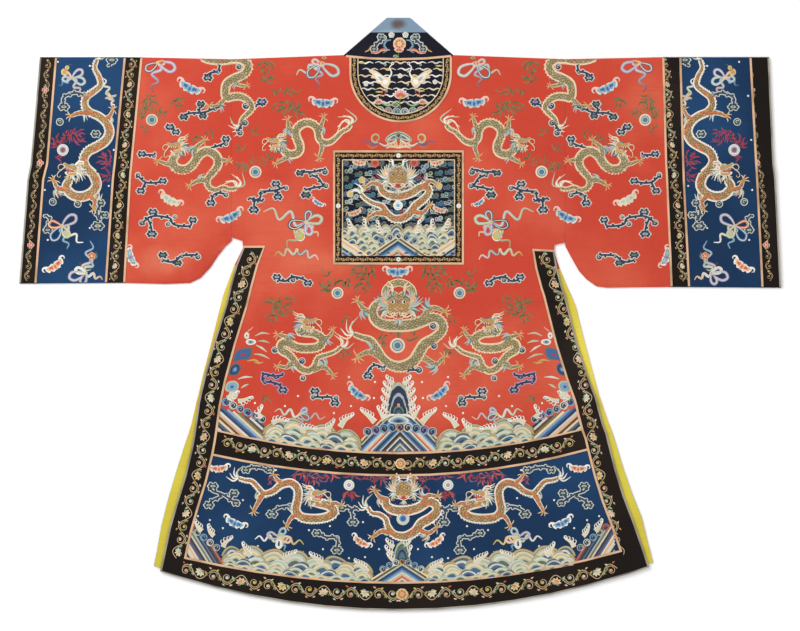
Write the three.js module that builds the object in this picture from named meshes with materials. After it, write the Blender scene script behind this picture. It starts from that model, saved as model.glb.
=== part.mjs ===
// A priest's robe of red silk with blue bands and black scroll borders, laid flat with its back upwards.
// Each half of the body is one length of silk that runs over the shoulder fold, from the back to the front.
// Sizes are in millimetres. "out" is measured sideways from the centre line, "down" from the neck points.
import * as THREE from "three";

// Driving sizes
const CLOTH = 2.3; // outer silk, interlining and lining, quilted together by the embroidery
const LINING = 1; // the loose yellow lining that shows past the side slits
const TRIM = 1.1; // a border, the bib or the badge, sewn onto the cloth
const PIPING = 1.4; // height of the cream piping
const PIPING_WIDTH = 5;
const BINDING_WIDTH = 4; // pale binding on the outer edges
const GAP = 0.3; // room at each seam and between layers
const SLEEVE_SEAM = 400; // centre line to the seam between body and sleeve
const NECK_POINT = 131; // centre line to the end of the neck opening
const NECKBAND = 89; // finished width of the neckband
const COLLAR_TOP_OUT = 27.6; // half of the collar's top edge, laid flat
const COLLAR_NAVY = 54; // dark part of the collar, below its pale edge
const SIDE_BORDER = 48;
const FRONT_SHORTER = 8; // the front hem ends this much above the back hem
const LINING_TUCK = 40; // how far the lining strip reaches in under the back's edge
const BIB = { centre: 5, half: 123, straight: 43, curve: 119, border: 13 };
const BADGE = { half: 157, top: 229, bottom: 503, border: 15 };

const FOLD = CLOTH + GAP / 2; // radius of a turned fold, outside
const UPPER = CLOTH + GAP; // height of the upper layer's underside
const ON_UPPER = UPPER + CLOTH + GAP; // height of what is sewn onto the upper layer
const SIDES = [
  { name: "left", sign: -1, key: "Left" },
  { name: "right", sign: 1, key: "Right" },
];

// A table with named columns.
function table(columns, rows) {
  return rows.map((row) =>
    Object.fromEntries(columns.map((name, i) => [name, row[i]])),
  );
}

// Levels down the back. rise: how far a level climbs at half a metre out. edge: centre line to the side edge.
// border: width of the side border there. show: how far the front's lining reaches past the back's edge.
// crease: height of a storage fold. swell: loft of the cloth between folds.
const LEVELS = table(
  [
    "down",
    "riseLeft",
    "riseRight",
    "edgeLeft",
    "edgeRight",
    "border",
    "showLeft",
    "showRight",
    "crease",
    "swell",
  ],
  [
    [0, 0, 0, 400, 400, 0, 0, 0, 0, 0],
    [40, 0, 0, 400, 400, 0, 0, 0, 0, 1],
    [120, 0, 0, 400, 400, 0, 0, 0, 0, 1.8],
    [231, 0, 0, 400, 400, 0, 0, 0, 0, 0.8],
    [262, 0, 0, 400, 400, 0, 0, 0, 0.5, 0.5],
    [281, 0, 0, 400, 400, 0, 0, 0, 3.2, 0],
    [300, 0, 0, 400, 400, 0, 0, 0, 0.6, 0.5],
    [360, 0, 0, 400, 400, 0, 0, 0, 0.4, 1.6],
    [438, 0, -18, 400, 400, 0, 0, 0, 0.4, 1.6],
    [447, 0, -18, 374, 374, 2, 0, 0, 0.4, 1.6],
    [463, 0, -18, 373, 374, 48, 0, 0, 0.4, 1.6],
    [505, 0, -14, 390, 381, 48, 4, 6, 0.4, 1.4],
    [556, 0, -8, 404, 394, 48, 9, 13, 0.6, 0.8],
    [578, 0, 0, 409, 400, 48, 12, 15, 3.4, 0],
    [602, 0, 0, 415, 406, 48, 12, 19, 0.6, 0.8],
    [700, 12, 12, 443, 429, 48, 6, 18, 0.2, 2.6],
    [800, 32, 32, 466, 456, 48, 4, 13, 0.2, 2.6],
    [862, 46, 46, 477, 474, 48, 4, 8, 0.5, 1],
    [880, 50, 50, 480, 478, 48, 5, 9, 2.4, 0.5],
    [900, 55, 56, 482, 481, 48, 6, 10, 0.5, 1],
    [958, 72, 74, 488, 492, 48, 9, 12, 0.2, 1],
    [982, 68, 75, 492, 500, 48, 13, 12, 0.2, 1],
    [1006, 63, 76, 497, 505, 48, 17, 14, 0.2, 1],
    [1075, 61, 73, 513, 522, 48, 22, 17, 0.2, 2.4],
    [1140, 60, 71, 532, 541, 48, 21, 19, 0.2, 3],
    [1205, 58, 69, 550, 564, 48, 19, 20, 0.2, 2.4],
    [1269, 57, 67, 563, 585, 48, 17, 14, 0.2, 1],
    [1333, 72, 72, 572, 602, 48, 15, 9, 0.2, 1],
  ],
);
const MID_TOP = 958;
const MID_SEAM = 982;
const MID_BOTTOM = 1006;
const HEM_TOP = 1269;
const HEM = 1333;
const SLIT_TOP = 463; // the side borders start here
const LINING_TOP = 505;

// How far the back neckline dips below the neck points.
const NECKLINE = table(
  ["out", "scoop"],
  [
    [0, 8],
    [66, 6],
    [NECK_POINT, 0],
  ],
);
const NECK_BREAK = NECKLINE[1].out;

// Lines down one half of the body, as a share of the way to the side border, with the cloth's loft on each.
const LINES = table(
  ["share", "loft"],
  [
    [0, 0],
    [NECK_BREAK / SLEEVE_SEAM, 0],
    [NECK_POINT / SLEEVE_SEAM, 0],
    [0.5, 0],
    [0.667, 1],
    [0.833, 0.35],
    [1, 0],
  ],
);
const NECK_LINE = 2;
const SIDE_LINE = LINES.length - 1;
const EDGE_LINE = LINES.length;

// Lower edge of each sleeve, from the underarm to the cuff.
const UNDERARM = table(
  ["out", "left", "right"],
  [
    [400, 446, 459],
    [416, 461, 489],
    [433, 482, 519],
    [451, 510, 539],
    [475, 536, 556],
    [500, 548, 559],
    [560, 550, 558],
    [640, 547, 557],
    [920, 549, 559],
  ],
);

// How far the shoulder fold lies below the neck points.
const SHOULDER = table(
  ["out", "drop"],
  [
    [0, 0],
    [NECK_POINT, 0],
    [400, 10],
    [640, 5],
    [920, 5],
  ],
);

// Seams round the cuffs, as distances out at the shoulder, above and below the storage fold, and at the lower edge.
const CUFF_STOPS = [0, 265, 297, 550];
const CUFF_SEAMS = {
  left: table(
    ["name", "stops"],
    [
      ["red", [616, 641, 644, 658]],
      ["inner", [656, 681, 685, 702]],
      ["outer", [821, 843, 852, 871]],
      ["edge", [860, 883, 890, 910]],
    ],
  ),
  right: table(
    ["name", "stops"],
    [
      ["red", [635, 642, 644, 655]],
      ["inner", [676, 683, 684, 697]],
      ["outer", [844, 858, 860, 873]],
      ["edge", [889, 901, 905, 918]],
    ],
  ),
};

// The seam between the neckband and each front.
const NECKBAND_SEAM = table(
  ["down", "out"],
  [
    [0, 133],
    [60, 130],
    [200, 113],
    [330, 98],
    [430, 90],
    [1340, 90],
  ],
);

const lerp = THREE.MathUtils.lerp;

// Reads column `want` of a table at `value` of column `given`, on straight lines between the rows.
function read(rows, given, value, want) {
  const next = rows.findIndex((row) => row[given] >= value);
  if (next < 0) return rows[rows.length - 1][want];
  if (next === 0) return rows[0][want];
  const [a, b] = [rows[next - 1], rows[next]];
  return lerp(a[want], b[want], (value - a[given]) / (b[given] - a[given]));
}

// A level at any distance down the centre line, between the rows of LEVELS.
function levelAt(down) {
  return Object.fromEntries(
    Object.keys(LEVELS[0]).map((name) => [
      name,
      read(LEVELS, "down", down, name),
    ]),
  );
}

// Distance out of line `line` of the body at a level. The last line is the side edge.
function lineOut(level, side, line) {
  const edge = level["edge" + side.key];
  if (line === EDGE_LINE) return edge;
  return LINES[line].share * (edge - level.border);
}

// A point of the back's underside at a level and a distance out.
function backPoint(level, side, out) {
  const inner = lineOut(level, side, SIDE_LINE);
  const share = Math.min(out / inner, 1);
  const before = LINES[SIDE_LINE - 1].share;
  const ramp = Math.max(0, (share - before) / (1 - before));
  const lift = level["show" + side.key] > 0 ? ramp * (LINING + GAP) : 0;
  return {
    x: side.sign * out,
    down: level.down - level["rise" + side.key] * (out / 500) ** 2,
    rise:
      level.crease + level.swell * read(LINES, "share", share, "loft") + lift,
  };
}

function scoopAt(out) {
  return read(NECKLINE, "out", Math.abs(out), "scoop");
}

// The upper layer's relief on the sleeves, from the storage folds alone.
function creaseAt(down) {
  return read(LEVELS, "down", down, "crease");
}

// A closed wall between two grids of points, outer[i][j] and inner[i][j]. `has` says which cells are cloth, and
// a ring joins its last row to its first. Rows run so that the outer face looks along (row) x (column).
function wall(outer, inner, { has = () => true, ring = false } = {}) {
  const rows = outer.length;
  const columns = outer[0].length;
  const positions = [];
  const index = [];
  for (const grid of [outer, inner])
    for (const row of grid)
      for (const point of row) positions.push(point.x, point.y, point.z);
  const cellRows = ring ? rows : rows - 1;
  const id = (layer, i, j) =>
    layer * rows * columns + (i % rows) * columns + j;
  const quad = (a, b, c, d) => index.push(a, b, c, a, c, d);
  const cloth = (i, j) => {
    const row = ring ? (i + rows) % rows : i;
    const inside = row >= 0 && row < cellRows && j >= 0 && j < columns - 1;
    return inside && has(row, j);
  };
  for (let i = 0; i < cellRows; i++)
    for (let j = 0; j < columns - 1; j++) {
      if (!cloth(i, j)) continue;
      const corners = [
        [i, j],
        [i + 1, j],
        [i + 1, j + 1],
        [i, j + 1],
      ];
      const [a, b, c, d] = corners.map(([r, k]) => id(0, r, k));
      const [e, f, g, h] = corners.map(([r, k]) => id(1, r, k));
      quad(a, b, c, d);
      quad(h, g, f, e);
      if (!cloth(i, j - 1)) quad(b, a, e, f);
      if (!cloth(i + 1, j)) quad(c, b, f, g);
      if (!cloth(i, j + 1)) quad(d, c, g, h);
      if (!cloth(i - 1, j)) quad(a, d, h, e);
    }
  const geometry = new THREE.BufferGeometry();
  geometry.setAttribute(
    "position",
    new THREE.Float32BufferAttribute(positions, 3),
  );
  geometry.setIndex(index);
  return geometry;
}

// A wall of the given thickness over plan points {x, down, rise}, whose undersides lie at `base` plus their rise.
// Rows run down the robe and columns from the wearer's left to right.
function panel(points, base, thickness) {
  const at = (lift) =>
    points.map((row) =>
      row.map((p) => new THREE.Vector3(p.x, -p.down, base + p.rise + lift)),
    );
  return wall(at(thickness), at(0));
}

const robe = new THREE.Group();
function add(name, geometry, look) {
  const mesh = new THREE.Mesh(geometry, new THREE.MeshStandardMaterial(look));
  mesh.name = name;
  robe.add(mesh);
}

const RED = { color: 0xc8432f, roughness: 0.62, metalness: 0 };
const BLUE = { color: 0x1b3f6b, roughness: 0.55, metalness: 0 };
const BLACK = { color: 0x1a1418, roughness: 0.6, metalness: 0 };
const NAVY = { color: 0x17182b, roughness: 0.6, metalness: 0 };
const PALE_BLUE = { color: 0x7f93bb, roughness: 0.7, metalness: 0 };
const CREAM = { color: 0xd9b98c, roughness: 0.7, metalness: 0 };
const LAVENDER = { color: 0xa39a9c, roughness: 0.7, metalness: 0 };
const YELLOW = { color: 0xd0bf3c, roughness: 0.6, metalness: 0 };

// Turns a row of points round so that it always runs from left to right.
function leftToRight(side, row) {
  return side.sign < 0 ? [...row].reverse() : row;
}

// The turned edge between the two layers at a fold, from the upper layer to the lower.
const FOLD_TURNS = [60, 120].map(THREE.MathUtils.degToRad);
function foldPoint(x, down, outward, turn, radius) {
  return new THREE.Vector3(
    x,
    -(down + outward * (radius * Math.sin(turn) - FOLD)),
    FOLD + radius * Math.cos(turn),
  );
}

// Distance out of a line of the front, which starts at the neckband's seam.
function frontLineOut(level, side, line) {
  const seam = read(NECKBAND_SEAM, "down", level.down, "out") + GAP / 2;
  const edge = level["edge" + side.key] + level["show" + side.key];
  if (line === EDGE_LINE) return edge;
  const first = LINES[NECK_LINE].share;
  const share = (LINES[line].share - first) / (1 - first);
  return lerp(seam, edge - level.border, share);
}

// One half of the body: the back from the middle seam up, over the shoulder fold, and down the front.
function bodyHalf(side) {
  const levels = LEVELS.filter((level) => level.down <= MID_SEAM);
  const outer = [];
  const inner = [];
  const cells = [];
  const path = (makeOuter, makeInner, covers) => {
    const lines = [...Array(EDGE_LINE + 1).keys()];
    outer.push(leftToRight(side, lines.map(makeOuter)));
    inner.push(leftToRight(side, lines.map(makeInner)));
    cells.push(covers);
  };
  const belowArmpit = (level) => level.border > 0;
  const rises = (level, top) => (line) => {
    const out = Math.max(lineOut(level, side, line), GAP / 2);
    const p = backPoint(level, side, out);
    const shoulder = read(SHOULDER, "out", out, "drop") + FOLD + scoopAt(out);
    const down = level.down === 0 ? shoulder : p.down;
    const seamed = level.down === MID_SEAM ? down - GAP / 2 : down;
    return new THREE.Vector3(p.x, -seamed, UPPER + p.rise + (top ? CLOTH : 0));
  };
  const back = [...levels].reverse();
  back.forEach((level, i) => {
    const next = back[i + 1];
    path(
      rises(level, true),
      rises(level, false),
      (line) =>
        next !== undefined
          ? line < SIDE_LINE || belowArmpit(next)
          : line >= NECK_LINE && line < SIDE_LINE,
    );
  });
  for (const turn of FOLD_TURNS) {
    const folded = (radius) => (line) => {
      const out = lineOut(levels[0], side, line);
      const drop = read(SHOULDER, "out", out, "drop");
      return foldPoint(side.sign * out, drop, -1, turn, radius);
    };
    path(
      folded(FOLD),
      folded(GAP / 2),
      (line) => line >= NECK_LINE && line < SIDE_LINE,
    );
  }
  levels.forEach((level, i) => {
    const flat = (z) => (line) => {
      const out =
        level.down === 0 && line >= NECK_LINE
          ? lineOut(level, side, line)
          : frontLineOut(level, side, Math.max(line, NECK_LINE));
      const drop = level.down === 0 ? read(SHOULDER, "out", out, "drop") + FOLD : 0;
      const down = backPoint(level, side, out).down + drop;
      const seamed = level.down === MID_SEAM ? down - GAP / 2 : down;
      return new THREE.Vector3(side.sign * out, -seamed, z);
    };
    path(
      flat(0),
      flat(CLOTH),
      (line) =>
        i < levels.length - 1 &&
        line >= NECK_LINE &&
        (line < SIDE_LINE || belowArmpit(level)),
    );
  });
  const has = (i, j) =>
    cells[i](side.sign < 0 ? EDGE_LINE - 1 - j : j);
  // The path climbs the back, so its rows run upwards: turned round, they run down like every other panel.
  return wall(outer.reverse(), inner.reverse(), {
    has: (i, j) => has(outer.length - 2 - i, j),
  });
}

// Points across the whole back at a level, between two distances inwards from the side border or the edge.
function acrossBack(down, inset, toEdge = false) {
  const level = levelAt(down);
  return SIDES.flatMap((side) => {
    const lines = [...LINES.keys()].slice(0, SIDE_LINE);
    const outs = lines.map((line) => lineOut(level, side, line));
    const inner = lineOut(level, side, SIDE_LINE);
    if (toEdge) outs.push(inner, level["edge" + side.key] - inset);
    else outs.push(inner - inset);
    const row = outs.map((out) => backPoint(level, side, out));
    return side.sign < 0 ? row.reverse() : row.slice(1);
  });
}

// The levels between two distances down the centre line, with both ends.
function levelsBetween(top, bottom) {
  const inside = LEVELS.filter(
    (level) => level.down > top + 1 && level.down < bottom - 1,
  );
  return [levelAt(top), ...inside, levelAt(bottom)];
}

function backSkirt() {
  const downs = levelsBetween(MID_SEAM, HEM).map((level) => level.down);
  downs[0] += GAP / 2;
  return panel(
    downs.map((down) => acrossBack(down, 0, true)),
    UPPER,
    CLOTH,
  );
}

// A border or piping right across the back, between two levels.
function acrossTrim(top, bottom, inset, height, toEdge = false) {
  const downs = levelsBetween(top, bottom).map((level) => level.down);
  return panel(
    downs.map((down) => acrossBack(down, inset, toEdge)),
    ON_UPPER,
    height,
  );
}

// A strip that follows the side edge, between two distances inwards from the edge.
function sideTrim(side, top, bottom, inner, outer, height) {
  const rows = levelsBetween(top, bottom).map((level) =>
    leftToRight(
      side,
      [inner, outer].map((inset) =>
        backPoint(level, side, level["edge" + side.key] - inset),
      ),
    ),
  );
  return panel(rows, ON_UPPER, height);
}

// The piping down the inner side of a side border, which turns along the border's top end.
function sidePiping(side) {
  const edges = [SIDE_BORDER + GAP + PIPING_WIDTH, SIDE_BORDER + GAP];
  const start = levelAt(SLIT_TOP);
  const shift = (point, up) => ({ ...point, down: point.down - up });
  const ends = [0, 1].map((i) => (i ? GAP : GAP + PIPING_WIDTH));
  const edge = start["edge" + side.key];
  const row = (outs, ups) =>
    outs.map((out, i) => shift(backPoint(start, side, out), ups[i]));
  const rows = [
    row([edge - GAP, edge - GAP], ends),
    row(
      edges.map((inset) => edge - inset),
      ends,
    ),
    ...levelsBetween(SLIT_TOP, HEM_TOP - GAP)
      .slice(1)
      .map((level) =>
        edges.map((inset) =>
          backPoint(level, side, level["edge" + side.key] - inset),
        ),
      ),
  ];
  return panel(
    rows.map((points) => leftToRight(side, points)),
    ON_UPPER,
    PIPING,
  );
}

// Distance out of a cuff seam at a distance down the sleeve.
function seamOut(side, name, down) {
  const { stops } = CUFF_SEAMS[side.name].find((seam) => seam.name === name);
  const rows = CUFF_STOPS.map((stop, i) => ({ stop, out: stops[i] }));
  return read(rows, "stop", down, "out");
}

// Rows down a sleeve: fixed ones as far as the storage fold, and then shares of what is left.
const SLEEVE_ROWS = [40, 120, 231, 262, 281, 300];
const SLEEVE_SHARES = [0.35, 0.7];
function sleeveDowns(lowest) {
  const last = SLEEVE_ROWS[SLEEVE_ROWS.length - 1];
  return [
    ...SLEEVE_ROWS,
    ...SLEEVE_SHARES.map((share) => lerp(last, lowest, share)),
  ];
}

// A flattened tube round the arm. stations: functions from a distance down to a distance out. lofts: the cloth's
// loft at each station. The ring runs down the upper layer, round the lower fold, and back up the lower layer.
function sleeveTube(side, stations, lofts) {
  const rings = stations.map((outAt, s) => {
    const lowest = read(UNDERARM, "out", outAt(500), side.name);
    const shoulder = read(SHOULDER, "out", outAt(0), "drop");
    const downs = [shoulder + FOLD, ...sleeveDowns(lowest), lowest - FOLD];
    const x = (down) => side.sign * outAt(down);
    const rise = (down, i) => {
      const turned = i === 0 || i === downs.length - 1;
      return turned ? 0 : creaseAt(down) + lofts[s] * Math.sin((Math.PI * down) / lowest);
    };
    const upper = (lift) =>
      downs.map(
        (down, i) =>
          new THREE.Vector3(x(down), -down, UPPER + lift + rise(down, i)),
      );
    const lower = (z) =>
      [...downs].reverse().map((down) => new THREE.Vector3(x(down), -down, z));
    const turnsDown = (radius) =>
      FOLD_TURNS.map((turn) =>
        foldPoint(x(lowest - FOLD), lowest, 1, turn, radius),
      );
    const turnsUp = (radius) =>
      [...FOLD_TURNS]
        .reverse()
        .map((turn) => foldPoint(x(shoulder + FOLD), shoulder, -1, turn, radius));
    return {
      outer: [...upper(CLOTH), ...turnsDown(FOLD), ...lower(0), ...turnsUp(FOLD)],
      inner: [
        ...upper(0),
        ...turnsDown(GAP / 2),
        ...lower(CLOTH),
        ...turnsUp(GAP / 2),
      ],
    };
  });
  const rows = rings[0].outer.map((_, i) => i);
  const grid = (face) =>
    rows.map((i) =>
      leftToRight(
        side,
        rings.map((ring) => ring[face][i]),
      ),
    );
  return wall(grid("outer"), grid("inner"), { ring: true });
}

// Stations from one seam to the next, with half a seam's gap at each end.
function between(side, from, to, shares) {
  return shares.map((share) => (down) => {
    const [a, b] = [from, to].map((name) =>
      name === "body" ? SLEEVE_SEAM + GAP / 2 : seamOut(side, name, down),
    );
    return lerp(a + GAP / 2, b - GAP / 2, share);
  });
}

// A strip on top of a cuff, between two distances from a seam.
function cuffTrim(side, name, from, to, height) {
  const lowest = read(UNDERARM, "out", seamOut(side, name, 550), side.name);
  const shoulder = read(SHOULDER, "out", seamOut(side, name, 0), "drop");
  const downs = [shoulder + FOLD, ...sleeveDowns(lowest), lowest - FOLD];
  const loft = name === "edge" ? 0 : CUFF_LOFT;
  const rows = downs.map((down, i) => {
    const turned = i === 0 || i === downs.length - 1;
    const rise = turned ? 0 : creaseAt(down) + loft * Math.sin((Math.PI * down) / lowest);
    return leftToRight(
      side,
      [from, to].map((off) => ({
        x: side.sign * (seamOut(side, name, down) + off),
        down,
        rise,
      })),
    );
  });
  return panel(rows, ON_UPPER, height);
}

// Half the bib's width at a turn of its rounded end, and how far down that is. `inset` shrinks the outline.
const BIB_TURNS = [0, 18, 36, 52, 66, 77, 84].map(THREE.MathUtils.degToRad);
function bibOutline(inset) {
  const half = BIB.half - inset;
  const curve = BIB.curve - inset;
  return [
    { out: half, down: 0 },
    ...BIB_TURNS.map((turn) => ({
      out: half * Math.cos(turn),
      down: BIB.straight + curve * Math.sin(turn),
    })),
  ];
}

// The bib starts just under the neck piping.
function bibTop(x) {
  return FOLD + scoopAt(x) + PIPING_WIDTH / 2 + GAP;
}

function bibPanel(inset) {
  const half = BIB.half - inset;
  const breaks = [-NECK_BREAK, 0, NECK_BREAK];
  const shares = [-1, ...breaks.map((x) => (x - BIB.centre) / half), 1];
  const rows = bibOutline(inset).map((end, i) =>
    shares.map((share) => {
      const x = BIB.centre + share * end.out;
      return { x, down: i ? end.down : bibTop(x), rise: 0 };
    }),
  );
  return panel(rows, ON_UPPER, TRIM);
}

// A band round the bib between two insets: down one side, round the end and up the other.
function bibBand(from, to, height) {
  const walk = (inset) => {
    const half = bibOutline(inset);
    const point = (sign) => (p, i) => {
      const x = BIB.centre + sign * p.out;
      return { x, down: i ? p.down : bibTop(x), rise: 0 };
    };
    return [...half.map(point(-1)), ...half.map(point(1)).reverse()];
  };
  const [a, b] = [walk(from), walk(to)];
  return panel(
    a.map((point, i) => [point, b[i]]),
    ON_UPPER,
    height,
  );
}

// The square badge, and the bands round it. Rows fall on the storage fold, so that they lie on the cloth.
function badgeRows(top, bottom) {
  const inside = LEVELS.map((level) => level.down).filter(
    (down) => down > top + 1 && down < bottom - 1 && down <= 360,
  );
  return [top, ...inside, bottom];
}

function badgePanel(inset) {
  const half = BADGE.half - inset;
  const rows = badgeRows(BADGE.top + inset, BADGE.bottom - inset);
  const shares = [-1, -0.5, 0, 0.5, 1];
  return panel(
    rows.map((down) =>
      shares.map((share) => ({
        x: share * half,
        down,
        rise: creaseAt(down),
      })),
    ),
    ON_UPPER,
    TRIM,
  );
}

// One mitred band of the badge's frame, between two insets.
function badgeBand(edge, from, to, height) {
  const corner = (sx, sy, inset) => {
    const down = sy < 0 ? BADGE.top + inset : BADGE.bottom - inset;
    return { x: sx * (BADGE.half - inset), down };
  };
  const miter = GAP / 2;
  const rise = (p) => ({ ...p, rise: creaseAt(p.down) });
  if (edge === "top" || edge === "bottom") {
    const sy = edge === "top" ? -1 : 1;
    const insets = sy < 0 ? [from, to] : [to, from];
    const rows = insets.map((inset) => {
      const [l, r] = [-1, 1].map((sx) => corner(sx, sy, inset));
      return [
        rise({ x: l.x + miter, down: l.down }),
        rise({ x: r.x - miter, down: r.down }),
      ];
    });
    return panel(rows, ON_UPPER, height);
  }
  const sx = edge === "left" ? -1 : 1;
  const insets = sx < 0 ? [from, to] : [to, from];
  const share = (down, inset) => {
    const [t, b] = [BADGE.top + inset, BADGE.bottom - inset].map(
      (d, i) => d + (i ? -2 : 2) * miter,
    );
    return Math.min(Math.max(down, t), b);
  };
  const downs = badgeRows(BADGE.top + from, BADGE.bottom - from);
  const rows = downs.map((down) =>
    insets.map((inset) =>
      rise({ x: sx * (BADGE.half - inset), down: share(down, inset) }),
    ),
  );
  return panel(rows, ON_UPPER, height);
}

// Columns across the back neck, as shares of half its width.
const NECK_SHARES = [-1, -NECK_BREAK / NECK_POINT, 0, NECK_BREAK / NECK_POINT, 1];

// The collar laid flat above the back neckline, between two heights.
function collarPart(from, to, heights) {
  const rows = [...heights].reverse().map((height) => {
    const up = lerp(from, to, height);
    const half = lerp(NECK_POINT - GAP, COLLAR_TOP_OUT, up / NECKBAND);
    return NECK_SHARES.map((share) => {
      const base = FOLD + scoopAt(share * NECK_POINT) - GAP;
      const down = base * Math.max(0, 1 - up / COLLAR_NAVY) - up;
      return { x: share * half, down, rise: 0 };
    });
  });
  return panel(rows, UPPER, CLOTH);
}

// The piping over the back neck seam.
function neckPiping() {
  const end = NECK_POINT - PIPING_WIDTH;
  const rows = [-1, 1].map((way) =>
    NECK_SHARES.map((share) => {
      const x = Math.max(-end, Math.min(end, share * NECK_POINT));
      return { x, down: FOLD + scoopAt(x) + (way * PIPING_WIDTH) / 2, rise: 0 };
    }),
  );
  return panel(rows, ON_UPPER, PIPING);
}

// Inner edge of the neckband, from its slanted fold beside the collar to the edges that meet at the front.
const NECKBAND_EDGE = table(
  ["down", "edgeDown", "out"],
  [
    [0, -NECKBAND, COLLAR_TOP_OUT],
    [60, 0, 20],
    [200, 150, 8],
    [330, 300, GAP / 2],
    [430, 420, GAP / 2],
    [880, 880, GAP / 2],
    [HEM, HEM, GAP / 2],
  ],
);

// The neckband: along the slanted fold beside the collar, and down the front opening to the hem.
function frontNeckband(side) {
  const rows = LEVELS.map((level, i) => {
    const last = i === LEVELS.length - 1 ? FRONT_SHORTER : 0;
    const seam = frontLineOut(level, side, NECK_LINE) - GAP;
    const out = i === 0 ? NECK_POINT - GAP / 2 : seam;
    const [edgeDown, edge] = ["edgeDown", "out"].map((want) =>
      read(NECKBAND_EDGE, "down", level.down, want),
    );
    return leftToRight(side, [
      { x: side.sign * edge, down: edgeDown - last, rise: 0 },
      {
        x: side.sign * out,
        down: backPoint(level, side, out).down - last,
        rise: 0,
      },
    ]);
  });
  return panel(rows, 0, CLOTH);
}

// The front below the middle seam, plain, on the lower layer.
function frontSkirt(side) {
  const rows = levelsBetween(MID_SEAM, HEM).map((level, i, all) => {
    const shift = i === 0 ? GAP / 2 : i === all.length - 1 ? -FRONT_SHORTER : 0;
    const lines = [...Array(EDGE_LINE + 1).keys()].slice(NECK_LINE);
    return leftToRight(
      side,
      lines.map((line) => {
        const out = frontLineOut(level, side, line);
        return {
          x: side.sign * out,
          down: backPoint(level, side, out).down + shift,
          rise: 0,
        };
      }),
    );
  });
  return panel(rows, 0, CLOTH);
}

// The strip of loose lining that shows past the side slit, lying on the front.
function frontLining(side) {
  const rows = levelsBetween(LINING_TOP, HEM).map((level, i, all) => {
    const edge = level["edge" + side.key];
    const last = i === all.length - 1 ? -FRONT_SHORTER - GAP : 0;
    return leftToRight(
      side,
      [edge - LINING_TUCK, edge + level["show" + side.key] - GAP].map((out) => ({
        x: side.sign * out,
        down: backPoint(level, side, out).down + last,
        rise: 0,
      })),
    );
  });
  return panel(rows, UPPER, LINING);
}

const CUFF_LOFT = 1.6;
const SLEEVE_LOFT = 2.8;
const hemBinding = HEM - BINDING_WIDTH - GAP; // the borders end here, above the binding

for (const side of SIDES) {
  const { name } = side;
  add("body_" + name, bodyHalf(side), RED);

  const seamBottom = seamOut(side, "red", 550);
  const shares = UNDERARM.filter(({ out }) => out < 600).map(
    ({ out }) => (out - SLEEVE_SEAM) / (seamBottom - SLEEVE_SEAM),
  );
  const sleeveStations = between(side, "body", "red", [...shares, 1]);
  const sleeveLofts = sleeveStations.map((_, i, all) =>
    i === all.length - 1
      ? CUFF_LOFT
      : SLEEVE_LOFT * Math.sin((Math.PI / 2) * Math.min(1, i / 5)),
  );
  add("sleeve_" + name, sleeveTube(side, sleeveStations, sleeveLofts), RED);
  add(
    "cuff_inner_border_" + name,
    sleeveTube(side, between(side, "red", "inner", [0, 1]), [CUFF_LOFT, CUFF_LOFT]),
    BLACK,
  );
  add(
    "cuff_band_" + name,
    sleeveTube(side, between(side, "inner", "outer", [0, 0.5, 1]), [
      CUFF_LOFT,
      CUFF_LOFT,
      CUFF_LOFT,
    ]),
    BLUE,
  );
  add(
    "cuff_outer_border_" + name,
    sleeveTube(side, between(side, "outer", "edge", [0, 1]), [CUFF_LOFT, 0]),
    BLACK,
  );
  const half = PIPING_WIDTH / 2;
  for (const seam of ["red", "inner", "outer"])
    add(`cuff_piping_${seam}_${name}`, cuffTrim(side, seam, -half, half, PIPING), CREAM);
  add(
    "cuff_edge_" + name,
    cuffTrim(side, "edge", -BINDING_WIDTH, -GAP, PIPING),
    LAVENDER,
  );

  add(
    "side_border_" + name,
    sideTrim(side, SLIT_TOP, hemBinding, SIDE_BORDER, BINDING_WIDTH + GAP, TRIM),
    BLACK,
  );
  add(
    "side_edge_" + name,
    sideTrim(side, SLIT_TOP, HEM, BINDING_WIDTH, 0, PIPING),
    LAVENDER,
  );
  add("side_piping_" + name, sidePiping(side), CREAM);
  add("neckband_" + name, frontNeckband(side), NAVY);
  add("front_skirt_" + name, frontSkirt(side), BLUE);
  add("front_lining_" + name, frontLining(side), YELLOW);
}

add("back_skirt", backSkirt(), BLUE);
const pipingEnd = GAP + PIPING_WIDTH + GAP;
add("mid_border", acrossTrim(MID_TOP, MID_BOTTOM, pipingEnd, TRIM), BLACK);
add(
  "mid_piping_upper",
  acrossTrim(MID_TOP - GAP - PIPING_WIDTH, MID_TOP - GAP, pipingEnd, PIPING),
  CREAM,
);
add(
  "mid_piping_lower",
  acrossTrim(MID_BOTTOM + GAP, MID_BOTTOM + GAP + PIPING_WIDTH, pipingEnd, PIPING),
  CREAM,
);
add(
  "hem_border",
  acrossTrim(HEM_TOP, hemBinding, GAP, TRIM),
  BLACK,
);
add(
  "hem_piping",
  acrossTrim(HEM_TOP - GAP - PIPING_WIDTH, HEM_TOP - GAP, pipingEnd, PIPING),
  CREAM,
);
add(
  "hem_edge",
  acrossTrim(HEM - BINDING_WIDTH, HEM, BINDING_WIDTH + GAP, PIPING, true),
  LAVENDER,
);

add("bib_panel", bibPanel(PIPING_WIDTH + BIB.border + 2 * GAP), NAVY);
add(
  "bib_border",
  bibBand(PIPING_WIDTH + GAP, PIPING_WIDTH + GAP + BIB.border, TRIM),
  BLACK,
);
add("bib_piping", bibBand(0, PIPING_WIDTH, PIPING), CREAM);

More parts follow.
